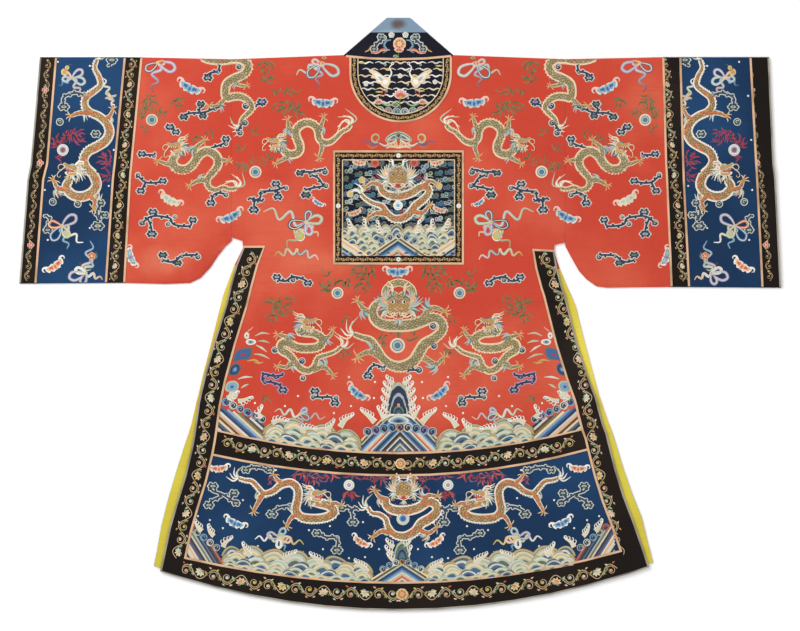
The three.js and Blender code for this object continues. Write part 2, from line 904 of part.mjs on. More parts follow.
add("badge_panel", badgePanel(PIPING_WIDTH + BADGE.border + 2 * GAP), NAVY);
for (const edge of ["top", "bottom", "left", "right"]) {
  add(
    "badge_border_" + edge,
    badgeBand(edge, PIPING_WIDTH + GAP, PIPING_WIDTH + GAP + BADGE.border, TRIM),
    BLACK,
  );
  add("badge_piping_" + edge, badgeBand(edge, 0, PIPING_WIDTH, PIPING), CREAM);
}

add("collar_back", collarPart(0, COLLAR_NAVY - GAP, [0, 0.5, 1]), NAVY);
add("collar_edge", collarPart(COLLAR_NAVY, NECKBAND, [0, 1]), PALE_BLUE);
add("neck_piping", neckPiping(), CREAM);

// The origin is under the middle of the robe, on the surface that it lies on.
const box = new THREE.Box3().setFromObject(robe);
const middle = box.getCenter(new THREE.Vector3());
robe.position.set(-middle.x, -middle.y, -box.min.z);

export default robe;
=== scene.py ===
"""Blender model of a ceremonial robe of red silk, laid flat with its back upwards.

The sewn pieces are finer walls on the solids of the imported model. The embroidery is stitched onto them band
by band. Motifs are placed on a cutting chart with squares of 2.4 mm, counted from its top left corner.
"""

import logging
import math
from dataclasses import dataclass, field, replace
from enum import Enum
from fnmatch import fnmatch
from typing import Callable, ClassVar, Iterable, Sequence

import bmesh
import bpy
import numpy as np
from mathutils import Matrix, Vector
from mathutils.bvhtree import BVHTree


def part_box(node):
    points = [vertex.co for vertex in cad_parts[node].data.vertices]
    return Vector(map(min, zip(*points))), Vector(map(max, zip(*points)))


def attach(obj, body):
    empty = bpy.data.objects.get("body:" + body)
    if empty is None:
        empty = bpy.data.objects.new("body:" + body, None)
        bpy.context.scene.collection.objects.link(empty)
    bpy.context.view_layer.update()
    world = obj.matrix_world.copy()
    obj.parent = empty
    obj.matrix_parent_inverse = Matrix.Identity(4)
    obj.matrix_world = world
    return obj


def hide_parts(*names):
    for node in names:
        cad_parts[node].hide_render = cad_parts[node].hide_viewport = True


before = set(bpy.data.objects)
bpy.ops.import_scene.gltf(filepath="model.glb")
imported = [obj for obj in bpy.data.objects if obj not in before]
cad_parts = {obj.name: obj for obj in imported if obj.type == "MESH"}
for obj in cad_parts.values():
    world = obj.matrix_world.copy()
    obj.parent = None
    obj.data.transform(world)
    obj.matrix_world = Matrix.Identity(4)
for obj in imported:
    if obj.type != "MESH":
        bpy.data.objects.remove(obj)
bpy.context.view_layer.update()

LOG = logging.getLogger("robe")
SQUARE = 0.0024  # one square of the chart
CENTRE = 398.5  # the chart's column on the centre line
NECK_ROW = 55.0  # the chart's row at the neck points
Point = tuple[float, float]
Points = Sequence[Point]


@dataclass(frozen=True)
class Seam:
    """A seam across the skirt that bows downwards.

    Attributes:
        middle: its chart row on the centre line.
        rise: how many rows it climbs, half a metre out from there.
    """

    middle: float
    rise: float

    def row(self, column: float) -> float:
        """Its row at a chart column."""
        return self.middle - self.rise * ((column - CENTRE) * SQUARE * 2) ** 2


RED_FOOT = Seam(452.6, 30)
MID_LINE = Seam(464, 31)
BLUE_FOOT = Seam(582, 24)
HEM_LINE = Seam(594.5, 24)


def linear(code: str) -> tuple[float, float, float, float]:
    """A web colour as linear red, green, blue and alpha.

    Args:
        code: six hexadecimal digits.

    Returns:
        Four numbers from 0 to 1.
    """
    values = [int(code[i : i + 2], 16) / 255 for i in (0, 2, 4)]
    red, green, blue = [v / 12.92 if v < 0.04045 else ((v + 0.055) / 1.055) ** 2.4 for v in values]
    return red, green, blue, 1.0


class Silk(Enum):
    """Colours of embroidery silk."""

    CREAM = "E6CFA8"
    WHITE = "EFEAE0"
    GOLD = "A89764"
    HONEY = "C79A55"
    ORANGE = "CB6B35"
    LEAF = "62804E"
    SAGE = "B4BE9F"
    MIST = "A7B4B4"
    SKY = "7FA5BE"
    TEAL = "3F7481"
    AZURE = "2E5F97"
    NAVY = "182449"
    INK = "14131B"
    INDIGO = "142F50"
    STRAW = "C2AA7E"
    PINK = "DBA196"
    PEACH = "E3AE88"
    CORAL = "C95B42"
    MAGENTA = "9C2F55"
    CRIMSON = "A83029"
    PLUM = "7A5160"
    LILAC = "A99BBB"
    OLIVE = "7C6D3E"
    MOSS = "5A6238"
    YELLOW = "CDB650"
    UMBER = "5A3D2A"
    BLUSH = "E8C2B4"
    PALE = "CFD3C4"
    SLATE = "4F6470"
    TAN = "BE9058"

    @property
    def rgba(self) -> tuple[float, float, float, float]:
        """The colour as linear numbers."""
        return linear(self.value)


@dataclass(frozen=True)
class Chart:
    """The cutting chart laid on the robe.

    Attributes:
        middle: where the centre line lies, in metres.
        neck: how far up the neck points lie, in metres.
    """

    middle: float
    neck: float

    def metres(self, squares: np.ndarray) -> np.ndarray:
        """Chart squares as metres.

        Args:
            squares: an array of columns and rows.

        Returns:
            An array of x and y.
        """
        x = self.middle + (squares[:, 0] - CENTRE) * SQUARE
        y = self.neck - (squares[:, 1] - NECK_ROW) * SQUARE
        return np.column_stack((x, y))

    def squares(self, metres: np.ndarray) -> np.ndarray:
        """Metres as chart squares.

        Args:
            metres: an array of x and y.

        Returns:
            An array of columns and rows.
        """
        column = CENTRE + (metres[:, 0] - self.middle) / SQUARE
        row = NECK_ROW - (metres[:, 1] - self.neck) / SQUARE
        return np.column_stack((column, row))


@dataclass(frozen=True)
class Spot:
    """Where a motif goes on the chart. It is flipped first if mirrored, and then turned clockwise."""

    x: float = 0.0
    y: float = 0.0
    scale: float = 1.0
    turn: float = 0.0
    mirror: bool = False

    def place(self, points: Iterable[Point]) -> np.ndarray:
        """The motif's own points on the chart.

        Args:
            points: columns and rows from the motif's origin.

        Returns:
            An array of chart columns and rows.
        """
        spread = np.array(list(points), float)
        if self.mirror:
            spread[:, 0] *= -1
        cos, sin = math.cos(math.radians(self.turn)), math.sin(math.radians(self.turn))
        turned = spread @ np.array([[cos, sin], [-sin, cos]])
        return turned * self.scale + (self.x, self.y)

    def flipped(self) -> "Spot":
        """The same spot on the other side of the centre line."""
        return Spot(2 * CENTRE - self.x, self.y, self.scale, -self.turn, not self.mirror)


def smooth_run(points: np.ndarray, fine: int = 8) -> np.ndarray:
    """A Catmull-Rom curve through the points.

    Args:
        points: an array of at least two points.
        fine: steps from one point to the next.

    Returns:
        An array of points on the curve.
    """
    if len(points) < 3:
        return points
    ends = np.vstack((2 * points[0] - points[1], points, 2 * points[-1] - points[-2]))
    a, b, c, d = ends[:-3], ends[1:-2], ends[2:-1], ends[3:]
    steps = []
    for t in np.linspace(0, 1, fine, endpoint=False):
        bend = (2 * a - 5 * b + 4 * c - d) * t * t + (3 * b - a - 3 * c + d) * t ** 3
        steps.append(0.5 * (2 * b + (c - a) * t + bend))
    run = np.stack(steps, 1).reshape(-1, points.shape[1])
    return np.vstack((run, points[-1]))


def even_run(points: np.ndarray, count: int) -> np.ndarray:
    """Points at even distances along a polyline.

    Args:
        points: an array of points.
        count: how many spaces lie between them.

    Returns:
        An array of count + 1 points.
    """
    gone = np.concatenate(([0], np.cumsum(np.linalg.norm(np.diff(points, axis=0), axis=1))))
    at = np.linspace(0, gone[-1], count + 1)
    return np.column_stack([np.interp(at, gone, points[:, i]) for i in range(points.shape[1])])


def run_length(points: np.ndarray) -> float:
    """Length of a polyline."""
    return float(np.linalg.norm(np.diff(points, axis=0), axis=1).sum())


@dataclass(frozen=True)
class Blank:
    """A flat grid that strokes start from.

    Attributes:
        mesh: the grid, whose points are moved for each stroke.
        spread: each point's place along (0 to 1) and across (-1 to 1).
        corners: the point of each face corner.
        cells: the cell along and across of each face corner.
    """

    mesh: bpy.types.Mesh
    spread: np.ndarray
    corners: np.ndarray
    cells: np.ndarray
    kept: ClassVar[dict[tuple[int, int], "Blank"]] = {}

    @classmethod
    def of(cls, along: int, across: int) -> "Blank":
        """The grid with so many cells, made once.

        Args:
            along: cells along the stroke.
            across: cells across it.

        Returns:
            The blank.
        """
        key = (along, across)
        if key not in cls.kept:
            cls.kept[key] = cls._make(along, across)
        return cls.kept[key]

    @classmethod
    def _make(cls, along: int, across: int) -> "Blank":
        """A new grid with the layers that embroidery needs."""
        bm = bmesh.new()
        for name in ("Thread", "OFBake"):
            bm.loops.layers.uv.new(name)
        bm.loops.layers.float_color.new("Silk")
        bmesh.ops.create_grid(bm, x_segments=along, y_segments=across, size=1.0)
        mesh = bpy.data.meshes.new(f"blank_{along}_{across}")
        bm.to_mesh(mesh)
        bm.free()
        places = np.zeros(len(mesh.vertices) * 3, np.float32)
        mesh.vertices.foreach_get("co", places)
        places = places.reshape(-1, 3)
        spread = np.column_stack(((places[:, 0] + 1) / 2, places[:, 1]))
        corners = np.zeros(len(mesh.loops), np.int32)
        mesh.loops.foreach_get("vertex_index", corners)
        centre = spread[corners].reshape(-1, 4, 2).mean(1)
        cells = np.column_stack((centre[:, 0] * along, (centre[:, 1] + 1) / 2 * across)).astype(int)
        return cls(mesh, spread, corners, np.repeat(cells, 4, axis=0))

    @classmethod
    def clear(cls) -> None:
        """Removes the grids once the embroidery is done."""
        for blank in cls.kept.values():
            bpy.data.meshes.remove(blank.mesh)
        cls.kept.clear()


class Cloth:
    """The laid robe, which the embroidery is stitched onto."""

    def __init__(self, pieces: dict[str, bpy.types.Object]) -> None:
        """Takes the sewn pieces.

        Args:
            pieces: objects whose meshes lie in place, by their solids' names.
        """
        self.pieces = pieces
        self.trees: dict[tuple[str, ...], BVHTree] = {}

    def tree(self, ground: tuple[str, ...]) -> BVHTree:
        """The faces of some of the pieces.

        Args:
            ground: name patterns of the pieces.

        Returns:
            Their search tree.
        """
        if ground not in self.trees:
            points: list[Vector] = []
            faces: list[tuple[int, ...]] = []
            for name, piece in self.pieces.items():
                if any(fnmatch(name, pattern) for pattern in ground):
                    first = len(points)
                    points += [vertex.co.copy() for vertex in piece.data.vertices]
                    faces += [tuple(first + i for i in face.vertices) for face in piece.data.polygons]
            self.trees[ground] = BVHTree.FromPolygons(points, faces)
        return self.trees[ground]

    def settle(self, bm: bmesh.types.BMesh, ground: tuple[str, ...], margin: float = 0.006) -> None:
        """Lowers strokes onto some pieces, and trims what reaches beyond them.

        Args:
            bm: the strokes, at their heights over the cloth.
            ground: name patterns of the pieces.
            margin: points this near the pieces' edge are drawn in to it. Farther ones are cut off.
        """
        tree = self.tree(ground)
        down = Vector((0, 0, -1))
        beyond = []
        snapped = set()
        for vert in bm.verts:
            hit = tree.ray_cast(Vector((vert.co.x, vert.co.y, 0.1)), down)[0]
            if hit is not None:
                vert.co.z += hit.z
                continue
            near = tree.find_nearest(Vector((vert.co.x, vert.co.y, 0.02)), margin + 0.02)[0]
            if near is None or (near.xy - vert.co.xy).length > margin:
                beyond.append(vert)
            else:
                vert.co = Vector((near.x, near.y, near.z + vert.co.z * 0.5))
                snapped.add(vert)
        bmesh.ops.delete(bm, geom=beyond, context="VERTS")
        flat = [
            face for face in bm.faces if face.calc_area() < 1e-9 or all(
                vert in snapped for vert in face.verts
            )
        ]
        bmesh.ops.delete(bm, geom=flat, context="FACES")


@dataclass
class Needle:
    """Lays bands and patches of silk, and joins those of one zone into one mesh.

    Attributes:
        name: the piece's name.
        chart: the cutting chart.
        zone: first column, first row, last column and last row that the strokes may reach.
        seed: starts the small differences between strokes.
        step: metres from one layer of stitching to the next.
        first: metres from the cloth to a stroke's edge.
        tiles: how many layers lie side by side on the map for baking, each way.
    """

    name: str
    chart: Chart
    zone: tuple[float, float, float, float]
    seed: int = 1
    step: ClassVar[float] = 0.00026
    first: ClassVar[float] = 0.00012
    tiles: ClassVar[int] = 3

    def __post_init__(self) -> None:
        """Starts an empty mesh."""
        self.bm = bmesh.new()
        self.rng = np.random.default_rng(self.seed)

    def _lay(
        self, blank: Blank, places: np.ndarray, height: np.ndarray, colours: np.ndarray, thread: np.ndarray,
        tier: int
    ) -> None:
        """Adds one moved copy of a blank.

        Args:
            blank: the grid.
            places: x and y of its points.
            height: height of its points over the cloth.
            colours: colour of each face corner.
            thread: length and width along the stitches at its points.
            tier: how many layers of stitching lie beneath.
        """
        mesh = blank.mesh
        solid = np.column_stack((places, height + tier * self.step)).astype(np.float32)
        mesh.vertices.foreach_set("co", solid.ravel())
        mesh.uv_layers["Thread"].data.foreach_set("uv", thread[blank.corners].astype(np.float32).ravel())
        x0, y0, x1, y1 = self.zone
        low, high = self.chart.metres(np.array([[x0, y1], [x1, y0]]))
        flat = np.clip((places - low) / (high - low), 0, 1)[blank.corners]
        tile = np.array([tier % self.tiles, tier // self.tiles % self.tiles])
        mesh.uv_layers["OFBake"].data.foreach_set(
            "uv", ((flat * 0.98 + 0.01 + tile) / self.tiles).astype(np.float32).ravel()
        )
        mesh.color_attributes["Silk"].data.foreach_set("color", colours.astype(np.float32).ravel())
        self.bm.from_mesh(mesh)

    def _dye(
        self, silks: Sequence[Silk], cells: np.ndarray, scaled: float, tip: Silk | None, share: np.ndarray
    ) -> np.ndarray:
        """Colours of a stroke's face corners.

        Args:
            silks: one silk for each cell across.
            cells: the cell across of each corner.
            scaled: how strongly scales are drawn, kept as alpha.
            tip: the silk that the stroke shades into, if any.
            share: how far along each corner lies.

        Returns:
            An array of four numbers for each corner.
        """
        table = np.array([silk.rgba for silk in silks])
        colours = table[np.clip(cells, 0, len(silks) - 1)]
        if tip is not None:
            blend = np.clip(share * 1.4 - 0.3, 0, 1)[:, None]
            colours = colours * (1 - blend) + np.array(tip.rgba) * blend
        colours[:, :3] *= self.rng.uniform(0.9, 1.08)
        colours[:, 3] = scaled
        return colours

    def band(
        self,
        path: Iterable[Point] | np.ndarray,
        width: float | Sequence[float],
        silks: Silk | Sequence[Silk],
        tier: int = 0,
        lift: float = 0.5,
        cuts: Sequence[float] | None = None,
        tip: Silk | None = None,
        scaled: float = 0.0,
        smooth: bool = True,
        along: int | None = None,
    ) -> None:
        """A band of stitches along a path.

        Args:
            path: chart points.
            width: its width in squares, or widths at even distances along it.
            silks: one silk, or one for each stripe across.
            tier: how many layers of stitching lie beneath.
            lift: how far its middle swells, in millimetres.
            cuts: where its stripes meet, from -1 to 1, both ends included.
            tip: the silk that it shades into.
            scaled: how strongly scales are drawn.
            smooth: whether the path curves through its points.
            along: cells along it, where the usual number won't do.
        """
        stripes = [silks] if isinstance(silks, Silk) else list(silks)
        points = np.array(list(path), float)
        run = self.chart.metres(smooth_run(points) if smooth else points)
        length = run_length(run)
        fine = max(length / SQUARE / 1.5, min(len(points) - 1, 14)) if smooth else length / SQUARE / 6
        count = along or int(np.clip(fine, 2, 220))
        if smooth or len(points) == 2:
            run = even_run(run, count)
        else:
            sides = np.linalg.norm(np.diff(run, axis=0), axis=1)
            steps = np.maximum(1, np.rint(sides / SQUARE / 4)).astype(int)
            parts = [np.linspace(a, b, n, endpoint=False) for a, b, n in zip(run[:-1], run[1:], steps)]
            run = np.vstack((*parts, run[-1:]))
            count = len(run) - 1
        slope = np.gradient(run, axis=0)
        if not smooth and len(points) > 2:
            sides = np.diff(run, axis=0)
            sides /= np.linalg.norm(sides, axis=1, keepdims=True)
            slope = np.vstack((sides[:1], sides[:-1] + sides[1:], sides[-1:]))
        slope /= np.maximum(np.linalg.norm(slope, axis=1, keepdims=True), 1e-12)
        side = np.column_stack((-slope[:, 1], slope[:, 0]))
        if not smooth and len(points) > 2:
            lean = np.abs((slope[:-1] * sides).sum(1))
            side /= np.concatenate((lean[:1], np.maximum(lean[1:], 0.4), [1.0]))[:, None]
        across = max(len(stripes), 2 if cuts is None and lift > 0.25 and len(stripes) == 1 else 1)
        blank = Blank.of(count, across)
        station = np.rint(blank.spread[:, 0] * count).astype(int)
        edges = np.array(cuts if cuts is not None else np.linspace(-1, 1, across + 1))
        reach = edges[np.rint((blank.spread[:, 1] + 1) / 2 * across).astype(int)]
        widths = np.atleast_1d(np.array(width, float))
        half = np.interp(
            blank.spread[:, 0], np.linspace(0, 1, max(len(widths), 2)),
            np.resize(widths, max(len(widths), 2))
        )
        half = half * SQUARE / 2
        places = run[station] + side[station] * (reach * half)[:, None]
        swell = np.minimum(1, half / (SQUARE * 0.9))
        height = self.first + 0.001 * lift * (1 - reach ** 2) * swell
        cells = blank.cells[:, 1] if len(stripes) > 1 else np.zeros(len(blank.corners), int)
        share = blank.spread[blank.corners, 0]
        thread = np.column_stack((blank.spread[:, 0] * length, reach * half))
        self._lay(blank, places, height, self._dye(stripes, cells, scaled, tip, share), thread, tier)

    def patch(
        self,
        outline: Iterable[Point] | np.ndarray,
        silks: Silk | Sequence[Silk],
        tier: int = 0,
        lift: float = 0.5,
        cuts: Sequence[float] | None = None,
        centre: Point | None = None,
        smooth: bool = True,
        around: int | None = None,
        scaled: float = 0.0,
    ) -> None:
        """A filled patch of stitches inside a closed outline.

        Args:
            outline: chart points round it, the first not repeated.
            silks: one silk, or one for each ring from the centre out.
            tier: how many layers of stitching lie beneath.
            lift: how far its middle swells, in millimetres.
            cuts: where its rings meet, from 0 to 1, both ends included.
            centre: the chart point that the rings shrink towards.
            smooth: whether the outline curves through its points.
            around: cells round it.
            scaled: how strongly scales are drawn.
        """
        rings = [silks, silks] if isinstance(silks, Silk) else list(silks)
        points = np.array(list(outline), float)
        closed = np.vstack((points, points[:1]))
        if smooth:
            wrapped = np.vstack((points[-2:], points, points[:3]))
            closed = smooth_run(wrapped)[16 : 16 + 8 * len(points) + 1]
        run = self.chart.metres(closed)
        x, y = run[:, 0], run[:, 1]
        if np.sum(x[:-1] * y[1:] - x[1:] * y[:-1]) > 0:
            run = run[::-1]
        middle = run[:-1].mean(0) if centre is None else self.chart.metres(np.array([centre]))[0]
        count = around or int(np.clip(run_length(run) / SQUARE / 1.6, 8, 48))
        run = even_run(run, count) if smooth or around else run
        blank = Blank.of(len(run) - 1, len(rings))
        station = np.rint(blank.spread[:, 0] * (len(run) - 1)).astype(int)
        edges = np.array(cuts if cuts is not None else np.linspace(0, 1, len(rings) + 1))
        reach = edges[np.rint((blank.spread[:, 1] + 1) / 2 * len(rings)).astype(int)]
        places = middle + (run[station] - middle) * reach[:, None]
        height = self.first + 0.001 * lift * (1 - reach ** 2)
        share = blank.spread[blank.corners, 0]
        colours = self._dye(rings, blank.cells[:, 1], scaled, None, share)
        self._lay(blank, places, height, colours, places - middle, tier)

    def disc(self, x: float, y: float, radius: float, silks: Silk | Sequence[Silk], **more: object) -> None:
        """A round patch.

        Args:
            x: chart column of its centre.
            y: chart row of its centre.
            radius: in squares.
            silks: as for a patch.
            more: passed on to the patch.
        """
        count = int(np.clip(radius * 4, 8, 26))
        turns = np.linspace(0, 2 * math.pi, count, endpoint=False)
        outline = [(x + radius * math.cos(t), y + radius * math.sin(t)) for t in turns]
        self.patch(outline, silks, smooth=False, centre=(x, y), **more)

    def finish(self, cloth: Cloth, material: bpy.types.Material, ground: tuple[str, ...]) -> bpy.types.Object:
        """Lowers the strokes onto the cloth and makes the object.

        Args:
            cloth: what they are stitched onto.
            material: the finish.
            ground: name patterns of the pieces that carry them.

        Returns:
            The object.
        """
        bmesh.ops.remove_doubles(self.bm, verts=self.bm.verts[:], dist=2e-6)
        cloth.settle(self.bm, ground)
        mesh = bpy.data.meshes.new(self.name)
        self.bm.to_mesh(mesh)
        self.bm.free()
        mesh.shade_smooth()
        mesh.materials.append(material)
        piece = bpy.data.objects.new(self.name, mesh)
        bpy.context.scene.collection.objects.link(piece)
        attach(piece, "root")
        LOG.info("%s: %d faces of stitching", self.name, len(mesh.polygons))
        return piece


def beside(run: np.ndarray, offset: float | np.ndarray) -> np.ndarray:
    """A path that keeps to the left of another.

    Args:
        run: chart points.
        offset: how far to its left, in squares, for all or each of the points.

    Returns:
        The moved points.
    """
    slope = np.gradient(run, axis=0)
    slope /= np.maximum(np.linalg.norm(slope, axis=1, keepdims=True), 1e-9)
    return run + np.column_stack((slope[:, 1], -slope[:, 0])) * np.reshape(offset, (-1, 1))


def along_run(values: Sequence[float], count: int) -> np.ndarray:
    """Values spread evenly over a number of points."""
    return np.interp(np.linspace(0, 1, count), np.linspace(0, 1, len(values)), values)


def curl(x: float, y: float, radius: float, start: float, turns: float, inner: float = 0.2) -> list[Point]:
    """A spiral that winds in to its centre.

    Args:
        x: column of its centre.
        y: row of its centre.
        radius: at its outer end.
        start: where it starts, in degrees clockwise from the right.
        turns: how often it goes round, negative for anticlockwise.
        inner: share of the radius left at its inner end.

    Returns:
        Points from the outside in.
    """
    count = max(5, int(abs(turns) * 9))
    found = []
    for share in np.linspace(0, 1, count):
        turn = math.radians(start) + 2 * math.pi * turns * share
        reach = radius * (1 - (1 - inner) * share)
        found.append((x + reach * math.cos(turn), y + reach * math.sin(turn)))
    return found


@dataclass(frozen=True)
class Pen:
    """A needle that draws in a motif's own squares.

    Attributes:
        needle: what stitches.
        spots: where the motif goes, the innermost first.
        tier: how many layers of stitching lie beneath.
    """

    needle: Needle
    spots: tuple[Spot, ...] = ()
    tier: int = 0

    def at(self, x: float, y: float, scale: float = 1.0, turn: float = 0.0, mirror: bool = False) -> "Pen":
        """A pen for a motif that is placed in this one's squares."""
        return replace(self, spots=(Spot(x, y, scale, turn, mirror), *self.spots))

    def over(self, tiers: int = 1) -> "Pen":
        """The same pen, some layers higher."""
        return replace(self, tier=self.tier + tiers)

    def sides(self) -> tuple["Pen", "Pen"]:
        """This pen, and one for the other side of the robe's centre line."""
        return self, self.at(2 * CENTRE, 0, mirror=True)

    @property
    def scale(self) -> float:
        """How many chart squares one of its squares is."""
        return math.prod(spot.scale for spot in self.spots)

    @property
    def mirrored(self) -> bool:
        """Whether left and right are exchanged."""
        return sum(spot.mirror for spot in self.spots) % 2 == 1

    def place(self, points: Iterable[Point] | np.ndarray) -> np.ndarray:
        """Its own points on the chart."""
        for spot in self.spots:
            points = spot.place(points)
        return np.array(points, float)

    def band(
        self,
        path: Iterable[Point] | np.ndarray,
        width: float | Sequence[float],
        silks: Silk | Sequence[Silk],
        tier: int = 0,
        cuts: Sequence[float] | None = None,
        **more: object,
    ) -> None:
        """A band of stitches, as the needle's.

        Args:
            path: the motif's own points.
            width: in its own squares.
            silks: one silk, or one for each stripe from right to left.
            tier: layers of its own beneath.
            cuts: where the stripes meet.
            more: passed on to the needle.
        """
        if self.mirrored and not isinstance(silks, Silk):
            silks = list(silks)[::-1]
            cuts = None if cuts is None else [-cut for cut in reversed(cuts)]
        widths = np.atleast_1d(width) * self.scale
        self.needle.band(self.place(path), widths, silks, self.tier + tier, cuts=cuts, **more)

    def patch(
        self, outline: Iterable[Point], silks: Silk | Sequence[Silk], tier: int = 0,
        centre: Point | None = None, **more: object
    ) -> None:
        """A filled patch, as the needle's.

        Args:
            outline: the motif's own points.
            silks: one silk, or one for each ring.
            tier: layers of its own beneath.
            centre: the point that the rings shrink towards.
            more: passed on to the needle.
        """
        middle = None if centre is None else tuple(self.place([centre])[0])
        self.needle.patch(self.place(outline), silks, self.tier + tier, centre=middle, **more)

    def disc(
        self, x: float, y: float, radius: float, silks: Silk | Sequence[Silk], tier: int = 0, **more: object
    ) -> None:
        """A round patch, as the needle's."""
        column, row = self.place([(x, y)])[0]
        self.needle.disc(column, row, radius * self.scale, silks, tier=self.tier + tier, **more)

    def spray(
        self,
        root: Point,
        length: float,
        angles: Sequence[float],
        width: float,
        silks: Sequence[Silk],
        bend: float = 0.3,
        tier: int = 0,
        uneven: float = 0.15,
    ) -> None:
        """Strands that fan out from one place, such as a mane or a tail.

        Args:
            root: where they start.
            length: of the longest.
            angles: degrees clockwise from the right, for each strand.
            width: at the root.
            silks: used in turn.
            bend: how far they curve, positive to the right of their way.
            tier: layers of its own beneath.
            uneven: how much their lengths differ.
        """
        for i, angle in enumerate(angles):
            turn = math.radians(angle)
            reach = length * (1 - uneven * ((i * 7) % 5) / 4)
            way = np.array([math.cos(turn), math.sin(turn)])
            side = np.array([-way[1], way[0]]) * bend * reach
            start = np.array(root) + way * width * 0.4
            path = [start, start + way * reach * 0.45 - side * 0.35, start + way * reach + side * 0.55]
            self.band(path, (width * 0.8, width, width * 0.25), silks[i % len(silks)], tier, lift=0.35)


@dataclass(frozen=True)
class Coat:
    """The silks of a dragon.

    Attributes:
        scales: its back.
        edge: the outline.
        belly: the belly plates.
        fins: the fins along its back.
        mane: its mane and tail, used in turn.
        horn: horns and whiskers.
        face: its face.
        claws: silks of its toes and claws.
        wisps: silks of the wisps behind its knees.
        flush: silks of the streaks along its belly and legs.
    """

    scales: Silk
    edge: Silk
    belly: Silk
    fins: tuple[Silk, ...]
    mane: tuple[Silk, ...]
    horn: Silk = Silk.CREAM
    face: Silk = Silk.GOLD
    claws: tuple[Silk, Silk] = (Silk.HONEY, Silk.PEACH)
    wisps: tuple[Silk, ...] = (Silk.MIST, Silk.SAGE, Silk.TEAL, Silk.MIST)
    flush: tuple[Silk, ...] = ()


ON_RED = Coat(
    Silk.GOLD,
    Silk.CREAM,
    Silk.CREAM,
    (Silk.CREAM, Silk.PEACH),
    (Silk.MIST, Silk.SAGE, Silk.CREAM, Silk.TEAL, Silk.MIST),
    face=Silk.HONEY,
)
ON_BLUE = replace(
    ON_RED,
    scales=Silk.TAN,
    edge=Silk.WHITE,
    fins=(Silk.WHITE, Silk.CREAM),
    mane=(Silk.CREAM, Silk.SAGE, Silk.WHITE, Silk.MIST),
    face=Silk.HONEY,
    claws=(Silk.HONEY, Silk.CREAM),
    wisps=(Silk.SAGE, Silk.PALE, Silk.ORANGE, Silk.MIST, Silk.PALE),
    flush=(Silk.ORANGE, Silk.HONEY, Silk.CORAL),
)


@dataclass(frozen=True)
class Leg:
    """A dragon's leg.

    Attributes:
        path: from the body to the foot.
        toes: where the toes point, in degrees clockwise from the right.
        size: scale of the foot.
        bend: 1 or -1, which way the wisps behind the knee curve.
    """

    path: Points
    toes: float
    size: float = 1.0
    bend: int = 1

    def stitch(self, pen: Pen, coat: Coat) -> None:
        """Stitches the leg, its foot and the wisps behind it.

        Args:
            pen: draws in the squares that the path is in.
            coat: the dragon's silks.
        """
        thick = 5.2 * self.size
        knee = self.path[len(self.path) // 2]
        heel = self.toes + 180
        wisps = [heel + lean * self.bend for lean in (-44, -24, -4, 16, 36)]
        pen.spray(knee, 10.5 * self.size, wisps, 2.1 * self.size, coat.wisps, 0.45 * self.bend)
        pen.band(self.path, (thick + 1.4, thick * 0.8 + 1.3, thick * 0.5 + 1.1), coat.edge, lift=0.4)
        pen.band(self.path, (thick, thick * 0.8, thick * 0.5), coat.scales, 1, lift=0.9, scaled=1.0)
        if coat.flush:
            pen.band(self.path, (thick * 0.5, thick * 0.4, 0.5), coat.flush[0], 5)
        foot = pen.at(*self.path[-1], scale=self.size, turn=self.toes)
        for i, spread in enumerate((-80, -42, -4, 34, 122)):
            turn = math.radians(spread)
            way = np.array([math.cos(turn), math.sin(turn)])
            side = np.array([-way[1], way[0]]) * (0.9 if i < 3 else -0.9)
            joint = way * 3.6 + side * 0.8
            foot.band([way * 0.6, way * 2.2 + side * 0.9, joint], (1.8, 1.6, 1.2), coat.claws[0], 1, lift=0.5)
            nail = [joint, joint + way * 1.9 - side * 0.1, joint + way * 3.4 - side * 1.2]
            foot.band(nail, (1.2, 0.9, 0.3), coat.claws[1], 1, lift=0.4)
        foot.disc(0, 0, 1.9, (coat.scales, coat.claws[0]), 2, cuts=(0, 0.6, 1))


class Facing(Enum):
    """Which way a dragon's head looks."""

    SIDE = "side"
    FRONT = "front"


